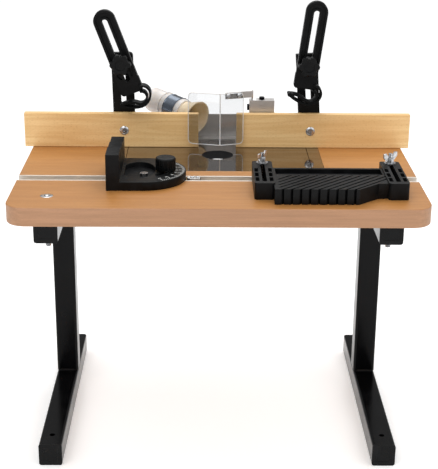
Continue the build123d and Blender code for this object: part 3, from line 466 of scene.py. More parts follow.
# Planed solid beech under clear lacquer: lighter, with growth lines that the lacquer deepens.
BEECH_LACQUERED = Beech(
    "beech_planed_lacquered", "FFD99C", 0.36, slot="solid_beech", dark="EBBB78", fleck="CC9A5C",
    band_share=0.38, band_mm=30.0, band_count=7.0, streak_mm=6.0,
)
CHIPBOARD = Chipboard("chipboard_core_sawn", "B08E62", 0.9, slot="laminated_board")
# Satin anodising over an extrusion: soft white gloss drawn out along the die lines.
ALUMINIUM_EXTRUDED = DrawnMetal(
    "aluminium_extruded_anodised", "ECE4DA", 0.50, 1.0, slot="anodised_aluminium",
)
# Ground and polished plate: sharp enough to mirror the fence, softened along the grinding.
STEEL_GROUND = DrawnMetal(
    "steel_plate_ground", "98908A", 0.05, 1.0, slot="ground_steel",
    line_mm=(50.0, 0.5, 0.5), spread=0.03, relief_mm=0.003,
)
STEEL_GALVANISED = GalvanisedSheet("steel_sheet_galvanised", "D6D3D0", 0.42, 1.0, slot="galvanised_steel")
STEEL_BAND = DrawnMetal(
    "steel_band_rolled", "6E7681", 0.22, 1.0, slot="zinc_fasteners", line_mm=(0.4, 0.4, 8.0),
)
ZINC_BRIGHT = PlatedMetal("steel_zinc_plated", "D0D1D3", 0.24, 1.0, slot="zinc_fasteners")
BLACK_OXIDE = PlatedMetal(
    "steel_black_oxide", "17171A", 0.35, 1.0, slot="black_fasteners", clouded="2A2A2E",
)
POWDER_BLACK = PowderCoat("steel_powder_coated_black", "060607", 0.14, slot="black_powder_coat")
NYLON_BLACK = MouldedPlastic("nylon_glass_filled_moulded", "0C0D0E", 0.42, slot="black_nylon")
ABS_BLACK = MouldedPlastic(
    "abs_moulded_black", "0B0C0D", 0.3, slot="black_knob_plastic", grit_mm=0.8, depth_mm=0.015,
)
HOSE_MILKY = MilkyPlastic("pvc_hose_extruded_milky", "E0DAD6", 0.3, slot="milky_plastic")
NOZZLE_CREAM = MilkyPlastic(
    "abs_nozzle_moulded_cream", "F0DCC0", 0.34, slot="milky_plastic", shade="E2C8A2", soak=0.35,
)
ACRYLIC_CLEAR = CastAcrylic("acrylic_cast_clear", "E8E9EA", 0.02, slot="clear_acrylic")
# Saw-cut acrylic edge, polished by flame, drawn as a white milky finish: a painted highlight where light leaves
# the sheet.
ACRYLIC_EDGE_HIGHLIGHT = MilkyPlastic(
    "acrylic_edge_painted_highlight", "FFFCF8", 0.2, slot="clear_acrylic", shade="D9D6D2", soak=0.6, radius_mm=3.0,
)
# Black on the insert ring's side walls and underside: painted shade of the bore, rough as from turning.
BORE_PAINTED_SHADE = PlatedMetal(
    "steel_bore_painted_shade", "101012", 0.5, 0.6, slot="ground_steel", clouded="1C1C1E",
)
# Pad-printed enamel in the engraved marks, a little worn.
SCALE_PAINT = MouldedPlastic(
    "enamel_pad_printed_white", "E8E8E4", 0.5, slot="black_nylon", grit_mm=1.2, rubbed="B9B9B4",
    specular=0.5,
)


# ------------------------------------------------------------------ mesh helpers
def dress(node: str, finish: Finish, round_mm: float = 0.0) -> None:
    """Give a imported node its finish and, if asked, slightly rounded edges.

    Args:
        node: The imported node's name.
        finish: What it is made of.
        round_mm: Width of the rounding along its sharp edges, or zero for none.
    """
    piece = frame["nodes"][node]
    piece.data.materials.clear()
    piece.data.materials.append(finish.material())
    if round_mm > 0:
        weld = piece.modifiers.new("join_faces", "WELD")
        weld.merge_threshold = WELD_MM * MM
        flat = piece.modifiers.new("plain_faces", "DECIMATE")
        flat.decimate_type = "DISSOLVE"
        flat.angle_limit = math.radians(FLAT_DEG)
        edge = piece.modifiers.new("edge_rounding", "BEVEL")
        edge.width = round_mm * MM
        edge.segments = 2
        edge.limit_method = "ANGLE"
        edge.angle_limit = math.radians(SHARP_DEG)
        edge.use_clamp_overlap = True
        edge.harden_normals = True


def new_piece(
    name: str,
    shapes: Iterable[Shape],
    body: str,
    finish: Finish,
    crease_deg: float = 35.0,
) -> bpy.types.Object:
    """Join shapes into one piece, dress it and let it ride on a body.

    Args:
        name: The piece's name.
        shapes: Corner points and faces of each closed shape, in the table's frame.
        body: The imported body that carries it.
        finish: What it is made of.
        crease_deg: Edges sharper than this stay crisp.

    Returns:
        The new object.
    """
    points: list[Vector] = []
    faces: list[tuple[int, ...]] = []
    for corners, loops in shapes:
        faces += [tuple(index + len(points) for index in loop) for loop in loops]
        points += corners
    mesh = bpy.data.meshes.new(name)
    mesh.from_pydata(points, [], faces)
    mesh.polygons.foreach_set("use_smooth", [True] * len(mesh.polygons))
    mesh.set_sharp_from_angle(angle=math.radians(crease_deg))
    mesh.materials.append(finish.material())
    piece = bpy.data.objects.new(name, mesh)
    bpy.context.scene.collection.objects.link(piece)
    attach(piece, body)
    return piece


def placed(origin: Vector, direction: Vector) -> Matrix:
    """Return the matrix that stands +Z along a direction at a point."""
    return Matrix.Translation(origin) @ direction.to_track_quat("Z", "Y").to_matrix().to_4x4()


def stacked(
    rings: list[tuple[float, Outline]], place: Matrix, count: int = 36
) -> Shape:
    """Skin a stack of closed outlines and cap both ends.

    Args:
        rings: Height of each outline and its radius at an angle, from first to last.
        place: Where the stack stands.
        count: Points on each outline.

    Returns:
        Corner points and faces of a closed shape.
    """
    angles = [math.tau * step / count for step in range(count)]
    points = [
        place @ Vector((radius(turn) * math.cos(turn), radius(turn) * math.sin(turn), height))
        for height, radius in rings
        for turn in angles
    ]
    faces = [
        (low * count + at, low * count + (at + 1) % count, (low + 1) * count + (at + 1) % count,
         (low + 1) * count + at)
        for low in range(len(rings) - 1)
        for at in range(count)
    ]
    last = (len(rings) - 1) * count
    faces.append(tuple(reversed(range(count))))
    faces.append(tuple(last + at for at in range(count)))
    return points, faces


def swept(path: list[Vector], radius: float, count: int = 8) -> Shape:
    """Run a round section along a path and cap both ends.

    Args:
        path: Points that the section's middle follows.
        radius: The section's radius.
        count: Points round the section.

    Returns:
        Corner points and faces of a closed shape.
    """
    points: list[Vector] = []
    faces: list[tuple[int, ...]] = []
    for at, place in enumerate(path):
        run = (path[min(at + 1, len(path) - 1)] - path[max(at - 1, 0)]).normalized()
        over = run.orthogonal() if abs(run.y) > NEARLY_ALONG else run.cross(Vector((0, 1, 0))).normalized()
        back = run.cross(over)
        for step in range(count):
            turn = math.tau * step / count
            points.append(place + (over * math.cos(turn) + back * math.sin(turn)) * radius)
    for at in range(len(path) - 1):
        for step in range(count):
            first, second = at * count + step, at * count + (step + 1) % count
            faces.append((first, second, second + count, first + count))
    faces.append(tuple(reversed(range(count))))
    faces.append(tuple((len(path) - 1) * count + step for step in range(count)))
    return points, faces


def revolved(
    profile: list[tuple[float, float]], place: Matrix, count: int = 64
) -> Shape:
    """Turn a closed profile of (radius, height) points all the way round an axis.

    Args:
        profile: Radius and height of each corner, in order round the section.
        place: Where the axis stands.
        count: Steps round the axis.

    Returns:
        Corner points and faces of a ring.
    """
    angles = [math.tau * at / count for at in range(count)]
    points = [
        place @ Vector((radius * math.cos(turn), radius * math.sin(turn), height))
        for turn in angles
        for radius, height in profile
    ]
    size = len(profile)
    faces = []
    for at in range(count):
        for corner in range(size):
            first, second = at * size + corner, at * size + (corner + 1) % size
            ahead = (at + 1) % count * size - at * size
            faces.append((first, first + ahead, second + ahead, second))
    return points, faces


def around(radius: float) -> Outline:
    """Return a plain round outline of this radius."""
    return lambda turn: radius


class Recess(Enum):
    """The driver recess of a screw head."""

    HEX = "hex"
    CROSS = "cross"

    def outline(self, size: float) -> Outline:
        """Draw the recess.

        Args:
            size: Half its width.

        Returns:
            Its radius at an angle.
        """
        if self is Recess.HEX:
            sixth = math.tau / 6
            return lambda turn: size * math.cos(sixth / 2) / math.cos(turn % sixth - sixth / 2)
        quarter = math.tau / 4
        wing = 0.26 * size
        return lambda turn: min(
            size, wing / max(math.sin(abs((turn + quarter / 2) % quarter - quarter / 2)), 0.05)
        )


@dataclass
class Solid:
    """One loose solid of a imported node, measured along its own axis."""

    points: np.ndarray
    facing: Vector

    def __post_init__(self) -> None:
        """Find the axis, the middle line and the two ends."""
        middle = self.points.mean(0)
        _, _, rows = np.linalg.svd(self.points - middle, full_matrices=False)
        best = max(rows, key=lambda row: abs(float(Vector(row).dot(self.facing))))
        self.axis = Vector(best).normalized()
        if self.axis.dot(self.facing) < 0:
            self.axis = -self.axis
        along = (self.points - middle) @ np.array(self.axis)
        across = np.linalg.norm(self.points - middle - np.outer(along, np.array(self.axis)), axis=1)
        self.head = Vector(middle) + self.axis * float(along.max())
        self.length = float(along.max() - along.min())
        self.head_radius = float(across.max())
        self.shank_radius = float(across[along < along.min() + 0.1 * MM].max())


def loose_solids(node: str, facing: tuple[float, float, float]) -> list[Solid]:
    """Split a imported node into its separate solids.

    Args:
        node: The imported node's name.
        facing: Roughly where the heads of its solids point.

    Returns:
        One measured solid for each, ordered by place.
    """
    mesh = frame["nodes"][node].data
    corners = np.array([vertex.co for vertex in mesh.vertices], float)
    keys = {}
    same = [keys.setdefault(tuple(np.round(corner / MM, 2)), at) for at, corner in enumerate(corners)]
    parent = list(range(len(corners)))

    def root(at: int) -> int:
        """Follow the links to a group's first point.

        Args:
            at: Any point of the group.

        Returns:
            The group's first point.
        """
        while parent[at] != at:
            parent[at] = parent[parent[at]]
            at = parent[at]
        return at

    for edge in mesh.edges:
        first, second = (root(same[at]) for at in edge.vertices)
        parent[first] = second
    groups: dict[int, list[int]] = {}
    for at in range(len(corners)):
        groups.setdefault(root(same[at]), []).append(at)
    found = [
        Solid(np.unique(np.round(corners[group], 7), axis=0), Vector(facing))
        for group in groups.values()
    ]
    return sorted(found, key=lambda solid: tuple(round(value, 3) for value in solid.head))


@dataclass
class Fasteners:
    """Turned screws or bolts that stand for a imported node, each with a driver recess and a thread."""

    node: str
    body: str
    finish: Finish
    facing: tuple[float, float, float]
    recess: Recess
    head_mm: float
    dome_mm: float = 0.0
    recess_share: float = 0.5
    pitch_mm: float = 1.0
    thread_mm: float = 12.0
    thread_root: float = 0.86
    tail_share: float = 0.8
    flat_rims: tuple[float, float] = (1.0, 0.96)
    dome_rims: tuple[float, float] = (0.68, 0.6)
    dome_profile: tuple[tuple[float, float], ...] = ((1.0, 0.97), (0.7, 1.0), (0.32, 0.86))

    def build(self) -> bpy.types.Object:
        """Turn every fastener of the node and hide the plain ones.

        Returns:
            The piece that stands for the node.
        """
        shapes = [self.turned(solid) for solid in loose_solids(self.node, self.facing)]
        piece = new_piece(self.node + "_turned", shapes, self.body, self.finish)
        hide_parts(self.node)
        return piece

    def turned(self, solid: Solid) -> Shape:
        """Skin one fastener from its tail, over the head, down into the recess.

        Args:
            solid: The plain solid that it stands for.

        Returns:
            Corner points and faces of the fastener.
        """
        place = placed(solid.head, solid.axis)
        wide, thin = solid.head_radius, solid.shank_radius
        under = -max(self.head_mm * MM, 0.3 * MM)
        rings = [(-solid.length, around(thin * self.tail_share))]
        turns = int(min(solid.length + under, self.thread_mm * MM) / (self.pitch_mm * MM))
        for turn in range(turns):
            start = -solid.length + (turn + 0.2) * self.pitch_mm * MM
            rings.append((start, around(thin * self.thread_root)))
            rings.append((start + self.pitch_mm * MM / 2, around(thin)))
        rings.append((under - 0.01 * MM, around(thin)))
        domed = self.dome_mm > 0
        if domed:
            rings += [(under * deep, around(wide * share)) for deep, share in self.dome_profile]
        outer, inner = self.dome_rims if domed else self.flat_rims
        rings.append((-0.15 * MM, around(wide * outer)))
        rings.append((0.0, around(wide * inner)))
        # The recess narrows from its lip to its floor.
        deepest = min(0.45 * wide, 2.2 * MM)
        for deep, share in ((0.02 * MM, 1.0), (0.3 * MM, 0.94), (deepest, 0.7)):
            rings.append((-deep, self.recess.outline(wide * self.recess_share * share)))
        return stacked(rings, place, 48)


# ------------------------------------------------------------------ sub-assemblies
@dataclass
class TableTop:
    """The laminated board with its track, insert plate, strips, ring and screws."""

    corner_mm: float = 30.0
    band_skin_mm: float = 1.7

    def build(self) -> None:
        """Dress the top and turn its screws."""
        self.dress_board()
        dress("mitre_track", ALUMINIUM_EXTRUDED, 0.3)
        for node in ("insert_plate", "insert_strips", "insert_ring"):
            dress(node, STEEL_GROUND)
        # Painted shade: the ring's side walls and underside go black.
        self.paint_bore_shade()
        dress("track_screws", ZINC_BRIGHT)
        Fasteners("insert_screws", "table", ZINC_BRIGHT, (0, 0, 1), Recess.CROSS, 2.0).build()
        Fasteners("table_bolts", "table", ZINC_BRIGHT, (0, 0, 1), Recess.HEX, 5.5, recess_share=0.45).build()

    def paint_bore_shade(self) -> None:
        """Leave the insert ring bright on top and paint shade on its other faces, black round its bore."""
        ring = frame["nodes"]["insert_ring"].data
        ring.materials.append(BORE_PAINTED_SHADE.material())
        for face in ring.polygons:
            face.material_index = 0 if face.normal.z > 0.5 else 1

    def dress_board(self) -> None:
        """Put print on the top and underside, band on the outline and bare chipboard in the cuts."""
        board = frame["nodes"]["table_top"]
        dress("table_top", BEECH_MELAMINE)
        board.data.materials.append(BEECH_EDGE_BAND.material())
        board.data.materials.append(CHIPBOARD.material())
        low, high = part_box("table_top")
        middle, half = (low + high) / 2, (high - low) / 2
        radius = self.corner_mm * MM
        for face in board.data.polygons:
            if abs(face.normal.z) > 0.75:
                continue
            out = face.center - middle
            over = (abs(out.x) - half.x + radius, abs(out.y) - half.y + radius)
            corner = math.hypot(max(over[0], 0), max(over[1], 0))
            depth = corner + min(max(over), 0) - radius
            face.material_index = 1 if depth > -self.band_skin_mm * MM else 2


@dataclass
class Legs:
    """Two welded H-shaped legs with end caps, nuts and weld beads."""

    bead_leg_mm: float = 3.2
    ripple_mm: float = 2.2
    ripple_share: float = 0.12
    steps_per_ripple: int = 4
    bead_margin_mm: float = 3.0
    end_share: float = 0.35
    end_slope: float = 5.0
    swell_share: float = 0.18
    sink_mm: float = 0.2
    arc_points: int = 7

    def build(self) -> None:
        """Dress the tubes and lay a bead at every joint."""
        for side in SIDES:
            for part in ("foot", "rail", "upright"):
                dress(f"{part}_tube_{side}", POWDER_BLACK)
            shapes = self.beads(side)
            new_piece(f"weld_beads_{side}", shapes, "table", POWDER_BLACK, 60)
        dress("foot_caps", ABS_BLACK, 0.5)
        dress("rail_caps", ABS_BLACK, 0.5)
        dress("table_nuts", ZINC_BRIGHT, 0.3)

    def beads(self, side: str) -> list[Shape]:
        """Lay one fillet bead before and behind the upright, on the foot and under the rail.

        Args:
            side: Which leg.

        Returns:
            Corner points and faces of each bead.
        """
        low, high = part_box(f"upright_tube_{side}")
        shapes = []
        for y, outward in ((low.y, -1), (high.y, 1)):
            for z, inward in ((low.z, 1), (high.z, -1)):
                shapes.append(self.bead(low.x, high.x, y, z, outward, inward))
        return shapes

    def bead(
        self, left: float, right: float, y: float, z: float, outward: int, inward: int
    ) -> Shape:
        """Sweep a rippled quarter-round section from left to right.

        Args:
            left: Where the tube's face starts.
            right: Where the tube's face ends.
            y: The upright's face.
            z: The face that the upright stands on or meets.
            outward: Direction along Y away from the upright.
            inward: Direction along Z away from the other tube.

        Returns:
            Corner points and faces of the bead.
        """
        margin, pitch, count = self.bead_margin_mm * MM, self.ripple_mm * MM, self.arc_points
        sink = self.sink_mm * MM
        steps = int((right - left - 2 * margin) / pitch * self.steps_per_ripple)
        points, faces = [], []
        for step in range(steps + 1):
            share = step / steps
            x = left + margin + share * (right - left - 2 * margin)
            ripple = 1 + self.ripple_share * math.sin(math.tau * step / self.steps_per_ripple)
            end = min(1.0, self.end_share + self.end_slope * min(share, 1 - share))
            leg = self.bead_leg_mm * MM * ripple * end
            points.append(Vector((x, y - outward * sink, z - inward * sink)))
            for at in range(count):
                turn = at / (count - 1) * math.pi / 2
                swell = 1 - self.swell_share * (1 - abs(math.cos(2 * turn)))
                points.append(Vector((
                    x, y + outward * leg * swell * math.cos(turn), z + inward * leg * swell * math.sin(turn),
                )))
        size = count + 1
        for step in range(steps):
            for at in range(size):
                first, second = step * size + at, step * size + (at + 1) % size
                faces.append((first, second, second + size, first + size))
        faces.append(tuple(reversed(range(size))))
        faces.append(tuple(steps * size + at for at in range(size)))
        return points, faces


@dataclass
class Fence:
    """The split fence: two beech faces on a galvanised channel, with bolts and knobs."""

    def build(self) -> None:
        """Dress wood and steel and turn the silver bolts that show in front."""
        dress("fence_channel", STEEL_GALVANISED)
        dress("clamp_bolts", ZINC_BRIGHT)
        for side in SIDES:
            dress(f"fence_face_{side}", BEECH_LACQUERED)
            dress(f"clamp_knob_{side}", ABS_BLACK)
            dress(f"face_knob_{side}", ABS_BLACK)
            Fasteners(
                f"face_bolt_{side}", f"fence_half_{side}", ZINC_BRIGHT, (0, -1, 0), Recess.HEX, 2.6,
                dome_mm=1.0, recess_share=0.3,
            ).build()


@dataclass
class DustPort:
    """The cream nozzle, the milky hose end and the steel band round it."""

    band_skin_mm: float = 0.9
    rolled_mm: float = 1.4
    rim_slope: float = 1.6
    housing_mm: tuple[float, float, float] = (7.0, 15.0, 6.0)
    screw_shank_mm: float = 4.0
    screw_end_mm: float = 7.0
    screw_sides: int = 12

    def build(self) -> None:
        """Dress the dust port and roll its band."""
        dress("dust_nozzle", NOZZLE_CREAM)
        dress("dust_hose_tube", HOSE_MILKY)
        self.roll_band()

    def roll_band(self) -> None:
        """Roll a wide steel band with turned-up rims and a screw housing at the back."""
        outlet = next(mount for mount in frame["record"]["mounts"] if mount["name"] == "dust_outlet")
        middle, axis = Vector(outlet["pos_m"]), Vector(outlet["axis"]).normalized()
        offsets = [vertex.co - middle for vertex in frame["nodes"]["dust_band"].data.vertices]
        along = [offset.dot(axis) for offset in offsets]
        start, end = min(along), max(along)
        inner = min((offset - axis * reach).length for offset, reach in zip(offsets, along))
        skin, rolled = self.band_skin_mm * MM, self.rolled_mm * MM
        profile = [
            (inner, 0.0), (inner, end - start), (inner + rolled, end - start),
            (inner + rolled, end - start - rolled), (inner + skin, end - start - self.rim_slope * rolled),
            (inner + skin, self.rim_slope * rolled), (inner + rolled, rolled), (inner + rolled, 0.0),
        ]
        place = placed(middle + axis * start, axis)
        low_behind = Vector((0, 1, -1))
        back = (low_behind - axis * low_behind.dot(axis)).normalized()
        wide, long, tall = (size * MM / 2 for size in self.housing_mm)
        heart = middle + axis * (start + end) / 2 + back * (inner + tall)
        across = axis.cross(back)
        corners = [
            heart + axis * (x * wide) + across * (y * long) + back * (z * tall)
            for x in (-1, 1) for y in (-1, 1) for z in (-1, 1)
        ]
        housing = (
            corners,
            [(0, 1, 3, 2), (4, 6, 7, 5), (0, 4, 5, 1), (2, 3, 7, 6), (0, 2, 6, 4), (1, 5, 7, 3)],
        )
        shank, head = around(wide * 0.6), around(wide * 0.9)
        step = self.screw_shank_mm * MM
        rings = [(0.0, shank), (step, shank), (step + 0.01 * MM, head), (self.screw_end_mm * MM, head)]
        screw = stacked(rings, placed(heart + across * long, across), self.screw_sides)
        shapes = [revolved(profile, place), housing, screw]
        piece = new_piece("dust_band_rolled", shapes, "fence_carriage", STEEL_BAND, 25)
        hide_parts("dust_band")


@dataclass
class Guard:
    """The clear guard on its galvanised strap, and the bracket that carries it."""

    edge_slope: float = 0.5
    corner_mm: float = 6.5
    corner_inset: float = 0.3
    sheet_mm: float = 3.0
    highlight_bead_mm: float = 0.55
    fold_highlight_mm: float = 0.9

    def build(self) -> None:
        """Dress the guard, its strap, bracket and screws, and paint the highlights on its edges."""
        dress("guard_panel", ACRYLIC_CLEAR)
        # Painted highlights: white finish on the cut edges, and a white bead round the outline and down the fold.
        self.paint_edge_highlight()
        self.paint_bead_highlight()
        dress("guard_strap", STEEL_GALVANISED, 0.5)
        dress("guard_bracket", STEEL_GALVANISED, 0.3)
        dress("guard_screws", ZINC_BRIGHT)
        dress("bracket_bolts", ZINC_BRIGHT)
        dress("guard_pivot_bolt", BLACK_OXIDE, 0.3)
        dress("guard_stop_screw", BLACK_OXIDE, 0.3)

    def paint_bead_highlight(self) -> None:
        """Lay a white bead round the sheet and down its fold: a painted highlight of the flame-polished edge and
        the bend.
        """
        sheet = frame["nodes"]["guard_panel"].data
        low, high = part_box("guard_panel")
        fold = min(sheet.vertices, key=lambda vertex: vertex.co.y).co.x
        sweep = high.y - low.y - self.sheet_mm * MM
        round_corner = self.corner_mm * MM
        inset = round_corner * self.corner_inset

        def front(x: float, z: float) -> Vector:
            """Find the sheet's front face.

            Args:
                x: Place across the sheet.
                z: Place up the sheet.

            Returns:
                The point on the front face.
            """
            side = (x - fold) / (high.x - fold) if x > fold else (fold - x) / (fold - low.x)
            return Vector((x, low.y + sweep * side, z))

        outline = [
            front(low.x, high.z - round_corner), front(low.x, low.z + round_corner),
            front(low.x + inset, low.z + inset), front(low.x + round_corner, low.z),
            front(fold, low.z),
            front(high.x - round_corner, low.z), front(high.x - inset, low.z + inset),
            front(high.x, low.z + round_corner), front(high.x, high.z - round_corner),
            front(high.x - inset, high.z - inset), front(high.x - round_corner, high.z),
            front(fold, high.z),
            front(low.x + round_corner, high.z), front(low.x + inset, high.z - inset),
            front(low.x, high.z - round_corner),
        ]
        # White beads round the outline and down the fold: painted highlight.
        shapes = [
            swept(outline, self.highlight_bead_mm * MM),
            swept([front(fold, low.z), front(fold, high.z)], self.fold_highlight_mm * MM),
        ]
        new_piece("guard_painted_edge_highlight", shapes, "guard", ACRYLIC_EDGE_HIGHLIGHT, 60)

    def paint_edge_highlight(self) -> None:
        """Paint a highlight on the sheet's cut edge: its outline faces take the white edge finish."""
        sheet = frame["nodes"]["guard_panel"].data
        sheet.materials.append(ACRYLIC_EDGE_HIGHLIGHT.material())
        low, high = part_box("guard_panel")
        for face in sheet.polygons:
            rim = min(
                face.center.x - low.x, high.x - face.center.x, face.center.z - low.z, high.z - face.center.z
            )
            if abs(face.normal.y) < self.edge_slope and rim < self.corner_mm * MM:
                face.material_index = 1


@dataclass
class HoldDown:
    """One hold-down: post, slotted arm with its spring shoe, bolt, spacer and star knob."""

    side: str

    def build(self) -> None:
        """Dress the hold-down."""
        dress(f"hold_post_{self.side}", NYLON_BLACK, 0.6)
        dress(f"hold_arm_{self.side}", NYLON_BLACK, 0.5)
        dress(f"hold_spacer_{self.side}", NYLON_BLACK)
        dress(f"hold_bolt_{self.side}", ZINC_BRIGHT)
        dress(f"hold_knob_{self.side}", ABS_BLACK, 0.5)


@dataclass
class MitreGauge:
    """The mitre gauge: bar, head with its printed degree scale, pointer and clamp knob."""

    rim_mm: float = 62.0
    long_tick_mm: float = 9.0
    short_tick_mm: float = 3.6
    tick_width_mm: float = 0.7
    reach_deg: int = 60
    step_deg: int = 3
    number_step_deg: int = 15
    number_mm: float = 5.0
    number_gap_share: float = 0.6
    print_mm: float = 0.06
    sink_mm: float = 0.03

    def build(self) -> None:
        """Dress the gauge and print its scale."""
        dress("mitre_bar", STEEL_GROUND, 0.3)
        dress("mitre_head", NYLON_BLACK, 0.6)
        dress("mitre_knob", ABS_BLACK)
        dress("mitre_pointer", STEEL_GALVANISED, 0.2)
        for node in ("mitre_pivot_screw", "mitre_stud", "mitre_washer"):
            dress(node, ZINC_BRIGHT)
        Fasteners(
            "pointer_screws", "gauge_bar", ZINC_BRIGHT, (0, 0, 1), Recess.CROSS, 1.2, dome_mm=0.6,
        ).build()
        self.print_scale()

    def print_scale(self) -> None:
        """Print ticks along the rim and numbers inside them, as thin raised enamel."""
        pivot = next(joint for joint in frame["joints"] if joint["name"] == "gauge_angle")["pos_m"]
        washer_low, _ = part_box("mitre_washer")
        face = washer_low.z - self.sink_mm * MM
        shapes = []
        for degree in range(-self.reach_deg, self.reach_deg + 1, self.step_deg):
            numbered = degree % self.number_step_deg == 0
            length = self.long_tick_mm if numbered else self.short_tick_mm
            shapes.append(self.tick(pivot, face, degree, length))
        new_piece("gauge_scale_ticks", shapes, "gauge_head", SCALE_PAINT)
        for degree in range(-self.reach_deg, self.reach_deg + 1, self.number_step_deg):
            self.number(pivot, face, degree)

    def tick(
        self, pivot: list[float], face: float, degree: int, length_mm: float
    ) -> Shape:
        """Make one radial tick that ends at the rim.

        Args:
            pivot: The head's pivot.
            face: Height of the printed face.
            degree: The tick's angle.
            length_mm: How long it is.

        Returns:
            Corner points and faces of the tick.
        """
        turn = math.radians(degree)
        out, side = Vector((math.cos(turn), math.sin(turn), 0)), Vector((-math.sin(turn), math.cos(turn), 0))
        half = self.tick_width_mm * MM / 2
        start = Vector((pivot[0], pivot[1], face))
        corners = [
            start + out * reach * MM + side * offset
            for reach, offset in (
                (self.rim_mm - length_mm, -half), (self.rim_mm, -half),
                (self.rim_mm, half), (self.rim_mm - length_mm, half),
            )
        ]
        lift = Vector((0, 0, self.print_mm * MM))
        points = corners + [corner + lift for corner in corners]
        faces = [(3, 2, 1, 0), (4, 5, 6, 7)]
        faces += [(at, (at + 1) % 4, (at + 1) % 4 + 4, at + 4) for at in range(4)]
        return points, faces

    def number(self, pivot: list[float], face: float, degree: int) -> None:
        """Print one number, read from outside the rim.

        Args:
            pivot: The head's pivot.
            face: Height of the printed face.
            degree: The angle that it names.
        """
        text = bpy.data.curves.new(f"scale_text_{degree}", "FONT")
        text.body = str(abs(degree))
        text.size = self.number_mm * MM
        text.align_x = "CENTER"
        text.align_y = "CENTER"
        text.extrude = self.print_mm * MM / 2
        turn = math.radians(degree)
        reach = (self.rim_mm - self.long_tick_mm - self.number_mm * self.number_gap_share) * MM
        sample = bpy.data.objects.new("scale_sample", text)
        mesh = bpy.data.meshes.new_from_object(sample)
        mesh.transform(
            Matrix.Translation((pivot[0] + reach * math.cos(turn), pivot[1] + reach * math.sin(turn), face))
            @ Matrix.Rotation(turn + math.pi / 2, 4, "Z")
        )
        bpy.data.objects.remove(sample)
        mesh.materials.clear()
        mesh.materials.append(SCALE_PAINT.material())
        side = "left" if degree < 0 else "right"
        piece = bpy.data.objects.new(f"gauge_scale_number_{abs(degree)}_{side}", mesh)
        bpy.context.scene.collection.objects.link(piece)
        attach(piece, "gauge_head")


@dataclass
class Featherboard:
    """The moulded featherboard with its T bolts, washers and wing nuts."""

    def build(self) -> None:
        """Dress the featherboard."""
        dress("featherboard", NYLON_BLACK, 0.4)
        dress("t_bolts", ZINC_BRIGHT)
        dress("feather_washers", ZINC_BRIGHT)
        for side in SIDES:
            dress(f"wing_nut_{side}", ZINC_BRIGHT, 0.5)


@dataclass(frozen=True)
class SoftBox:
    """A square soft light: where it hangs, in metres, its power and its side."""

    name: str
    place: tuple[float, float, float]
    watts: float
    side: float


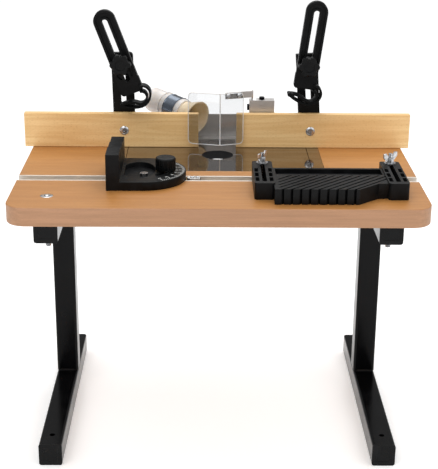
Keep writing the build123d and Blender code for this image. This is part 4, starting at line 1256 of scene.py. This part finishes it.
@dataclass
class Studio:
    """Camera, lights and a pale floor."""

    focal_share: float = 2.542
    sensor_mm: float = 36.0
    before_front_mm: float = 1590.0
    camera_x_mm: float = -22.4
    camera_height_mm: float = 938.4
    pitch_deg: float = 19.93
    yaw_deg: float = 0.80
    roll_deg: float = 0.52
    floor_side: float = 14.0
    room_above: float = 0.95
    room_behind: float = 0.3
    room_front: float = 0.45
    room_rise: tuple[float, float] = (0.42, 0.75)
    aim_height: float = 0.4
    floor_glow: float = 0.3
    lights: tuple[SoftBox, ...] = (
        SoftBox("key_light", (-0.8, -1.5, 2.2), 13.0, 1.6),
        SoftBox("fill_light", (1.5, -0.9, 1.5), 5.0, 1.4),
        SoftBox("top_light", (0.1, 0.9, 1.9), 16.0, 1.6),
    )

    def build_camera(self) -> None:
        """Stand the camera before the table, a little to its left and looking down."""
        lens = bpy.data.cameras.new("camera")
        lens.sensor_width = self.sensor_mm
        lens.lens = self.focal_share * self.sensor_mm
        camera = bpy.data.objects.new("camera", lens)
        look = Matrix.Rotation(math.radians(-self.yaw_deg), 4, "Z")
        look = look @ Matrix.Rotation(math.radians(90 - self.pitch_deg), 4, "X")
        look = look @ Matrix.Rotation(math.radians(self.roll_deg), 4, "Z")
        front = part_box("table_top")[0].y
        back, height = self.before_front_mm * MM, self.camera_height_mm * MM
        place = Vector((self.camera_x_mm * MM, front - back, height))
        camera.matrix_world = Matrix.Translation(place) @ look
        bpy.context.scene.collection.objects.link(camera)
        bpy.context.scene.camera = camera

    def build_light(self) -> None:
        """Hang soft boxes over and beside the table, in a white room on a pale floor."""
        scene = bpy.context.scene
        scene.view_settings.view_transform = "Standard"
        scene.world = self.white_room()
        for light in self.lights:
            self.hang(light)
        self.build_floor()

    def white_room(self) -> bpy.types.World:
        """Make a room that is white to look at and lights the table more from above than from the front.

        Returns:
            The world.
        """
        world = bpy.data.worlds.new("white_room")
        world.use_nodes = True
        tree = world.node_tree
        way = add_node(tree, "SeparateXYZ", inputs={0: add_node(tree, "TexCoord").outputs["Generated"]})
        level = remap(tree, way.outputs["Y"], (-1.0, 1.0), (self.room_front, self.room_behind))
        height = remap(tree, way.outputs["Z"], self.room_rise, (0.0, 1.0))
        lift = add_node(tree, "Mix", {"data_type": "FLOAT"}, {0: height, 2: level, 3: self.room_above})
        seen = add_node(tree, "LightPath").outputs["Is Camera Ray"]
        shown = add_node(tree, "Mix", {"data_type": "FLOAT"}, {0: seen, 2: lift.outputs[0], 3: 1.0})
        back = tree.nodes["Background"]
        back.inputs["Color"].default_value = linear("FFFFFF")
        tree.links.new(shown.outputs[0], back.inputs["Strength"])
        return world

    def hang(self, light: SoftBox) -> None:
        """Hang one soft box that looks at the table.

        Args:
            light: The soft box.
        """
        lamp = bpy.data.lights.new(light.name, "AREA")
        lamp.energy = light.watts
        lamp.size = light.side
        box = bpy.data.objects.new(light.name, lamp)
        aim = Vector((0, 0, self.aim_height)) - Vector(light.place)
        turn = aim.to_track_quat("-Z", "Y").to_matrix().to_4x4()
        box.matrix_world = Matrix.Translation(light.place) @ turn
        bpy.context.scene.collection.objects.link(box)

    def build_floor(self) -> None:
        """Lay a plain pale floor."""
        half = self.floor_side / 2
        mesh = bpy.data.meshes.new("floor")
        corners = [(-half, -half, 0), (half, -half, 0), (half, half, 0), (-half, half, 0)]
        mesh.from_pydata(corners, [], [(0, 1, 2, 3)])
        paint = bpy.data.materials.new("floor_paint_matt_white")
        paint.use_nodes = True
        sockets = paint.node_tree.nodes["Principled BSDF"].inputs
        sockets["Base Color"].default_value = linear("FCFCFC")
        sockets["Roughness"].default_value = 0.9
        sockets["Emission Color"].default_value = linear("FFFFFF")
        sockets["Emission Strength"].default_value = self.floor_glow
        mesh.materials.append(paint)
        floor = bpy.data.objects.new("floor", mesh)
        bpy.context.scene.collection.objects.link(floor)


def main() -> None:
    """Build the studio and dress every sub-assembly in order."""
    logging.basicConfig(level=logging.INFO)
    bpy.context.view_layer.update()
    studio = Studio()
    studio.build_camera()
    assemblies = [
        TableTop(), Legs(), Fence(), DustPort(), Guard(), HoldDown("left"), HoldDown("right"),
        MitreGauge(), Featherboard(),
    ]
    for assembly in assemblies:
        assembly.build()
        log.info("built %s", type(assembly).__name__)
    studio.build_light()


if __name__ == "__main__":
    main()
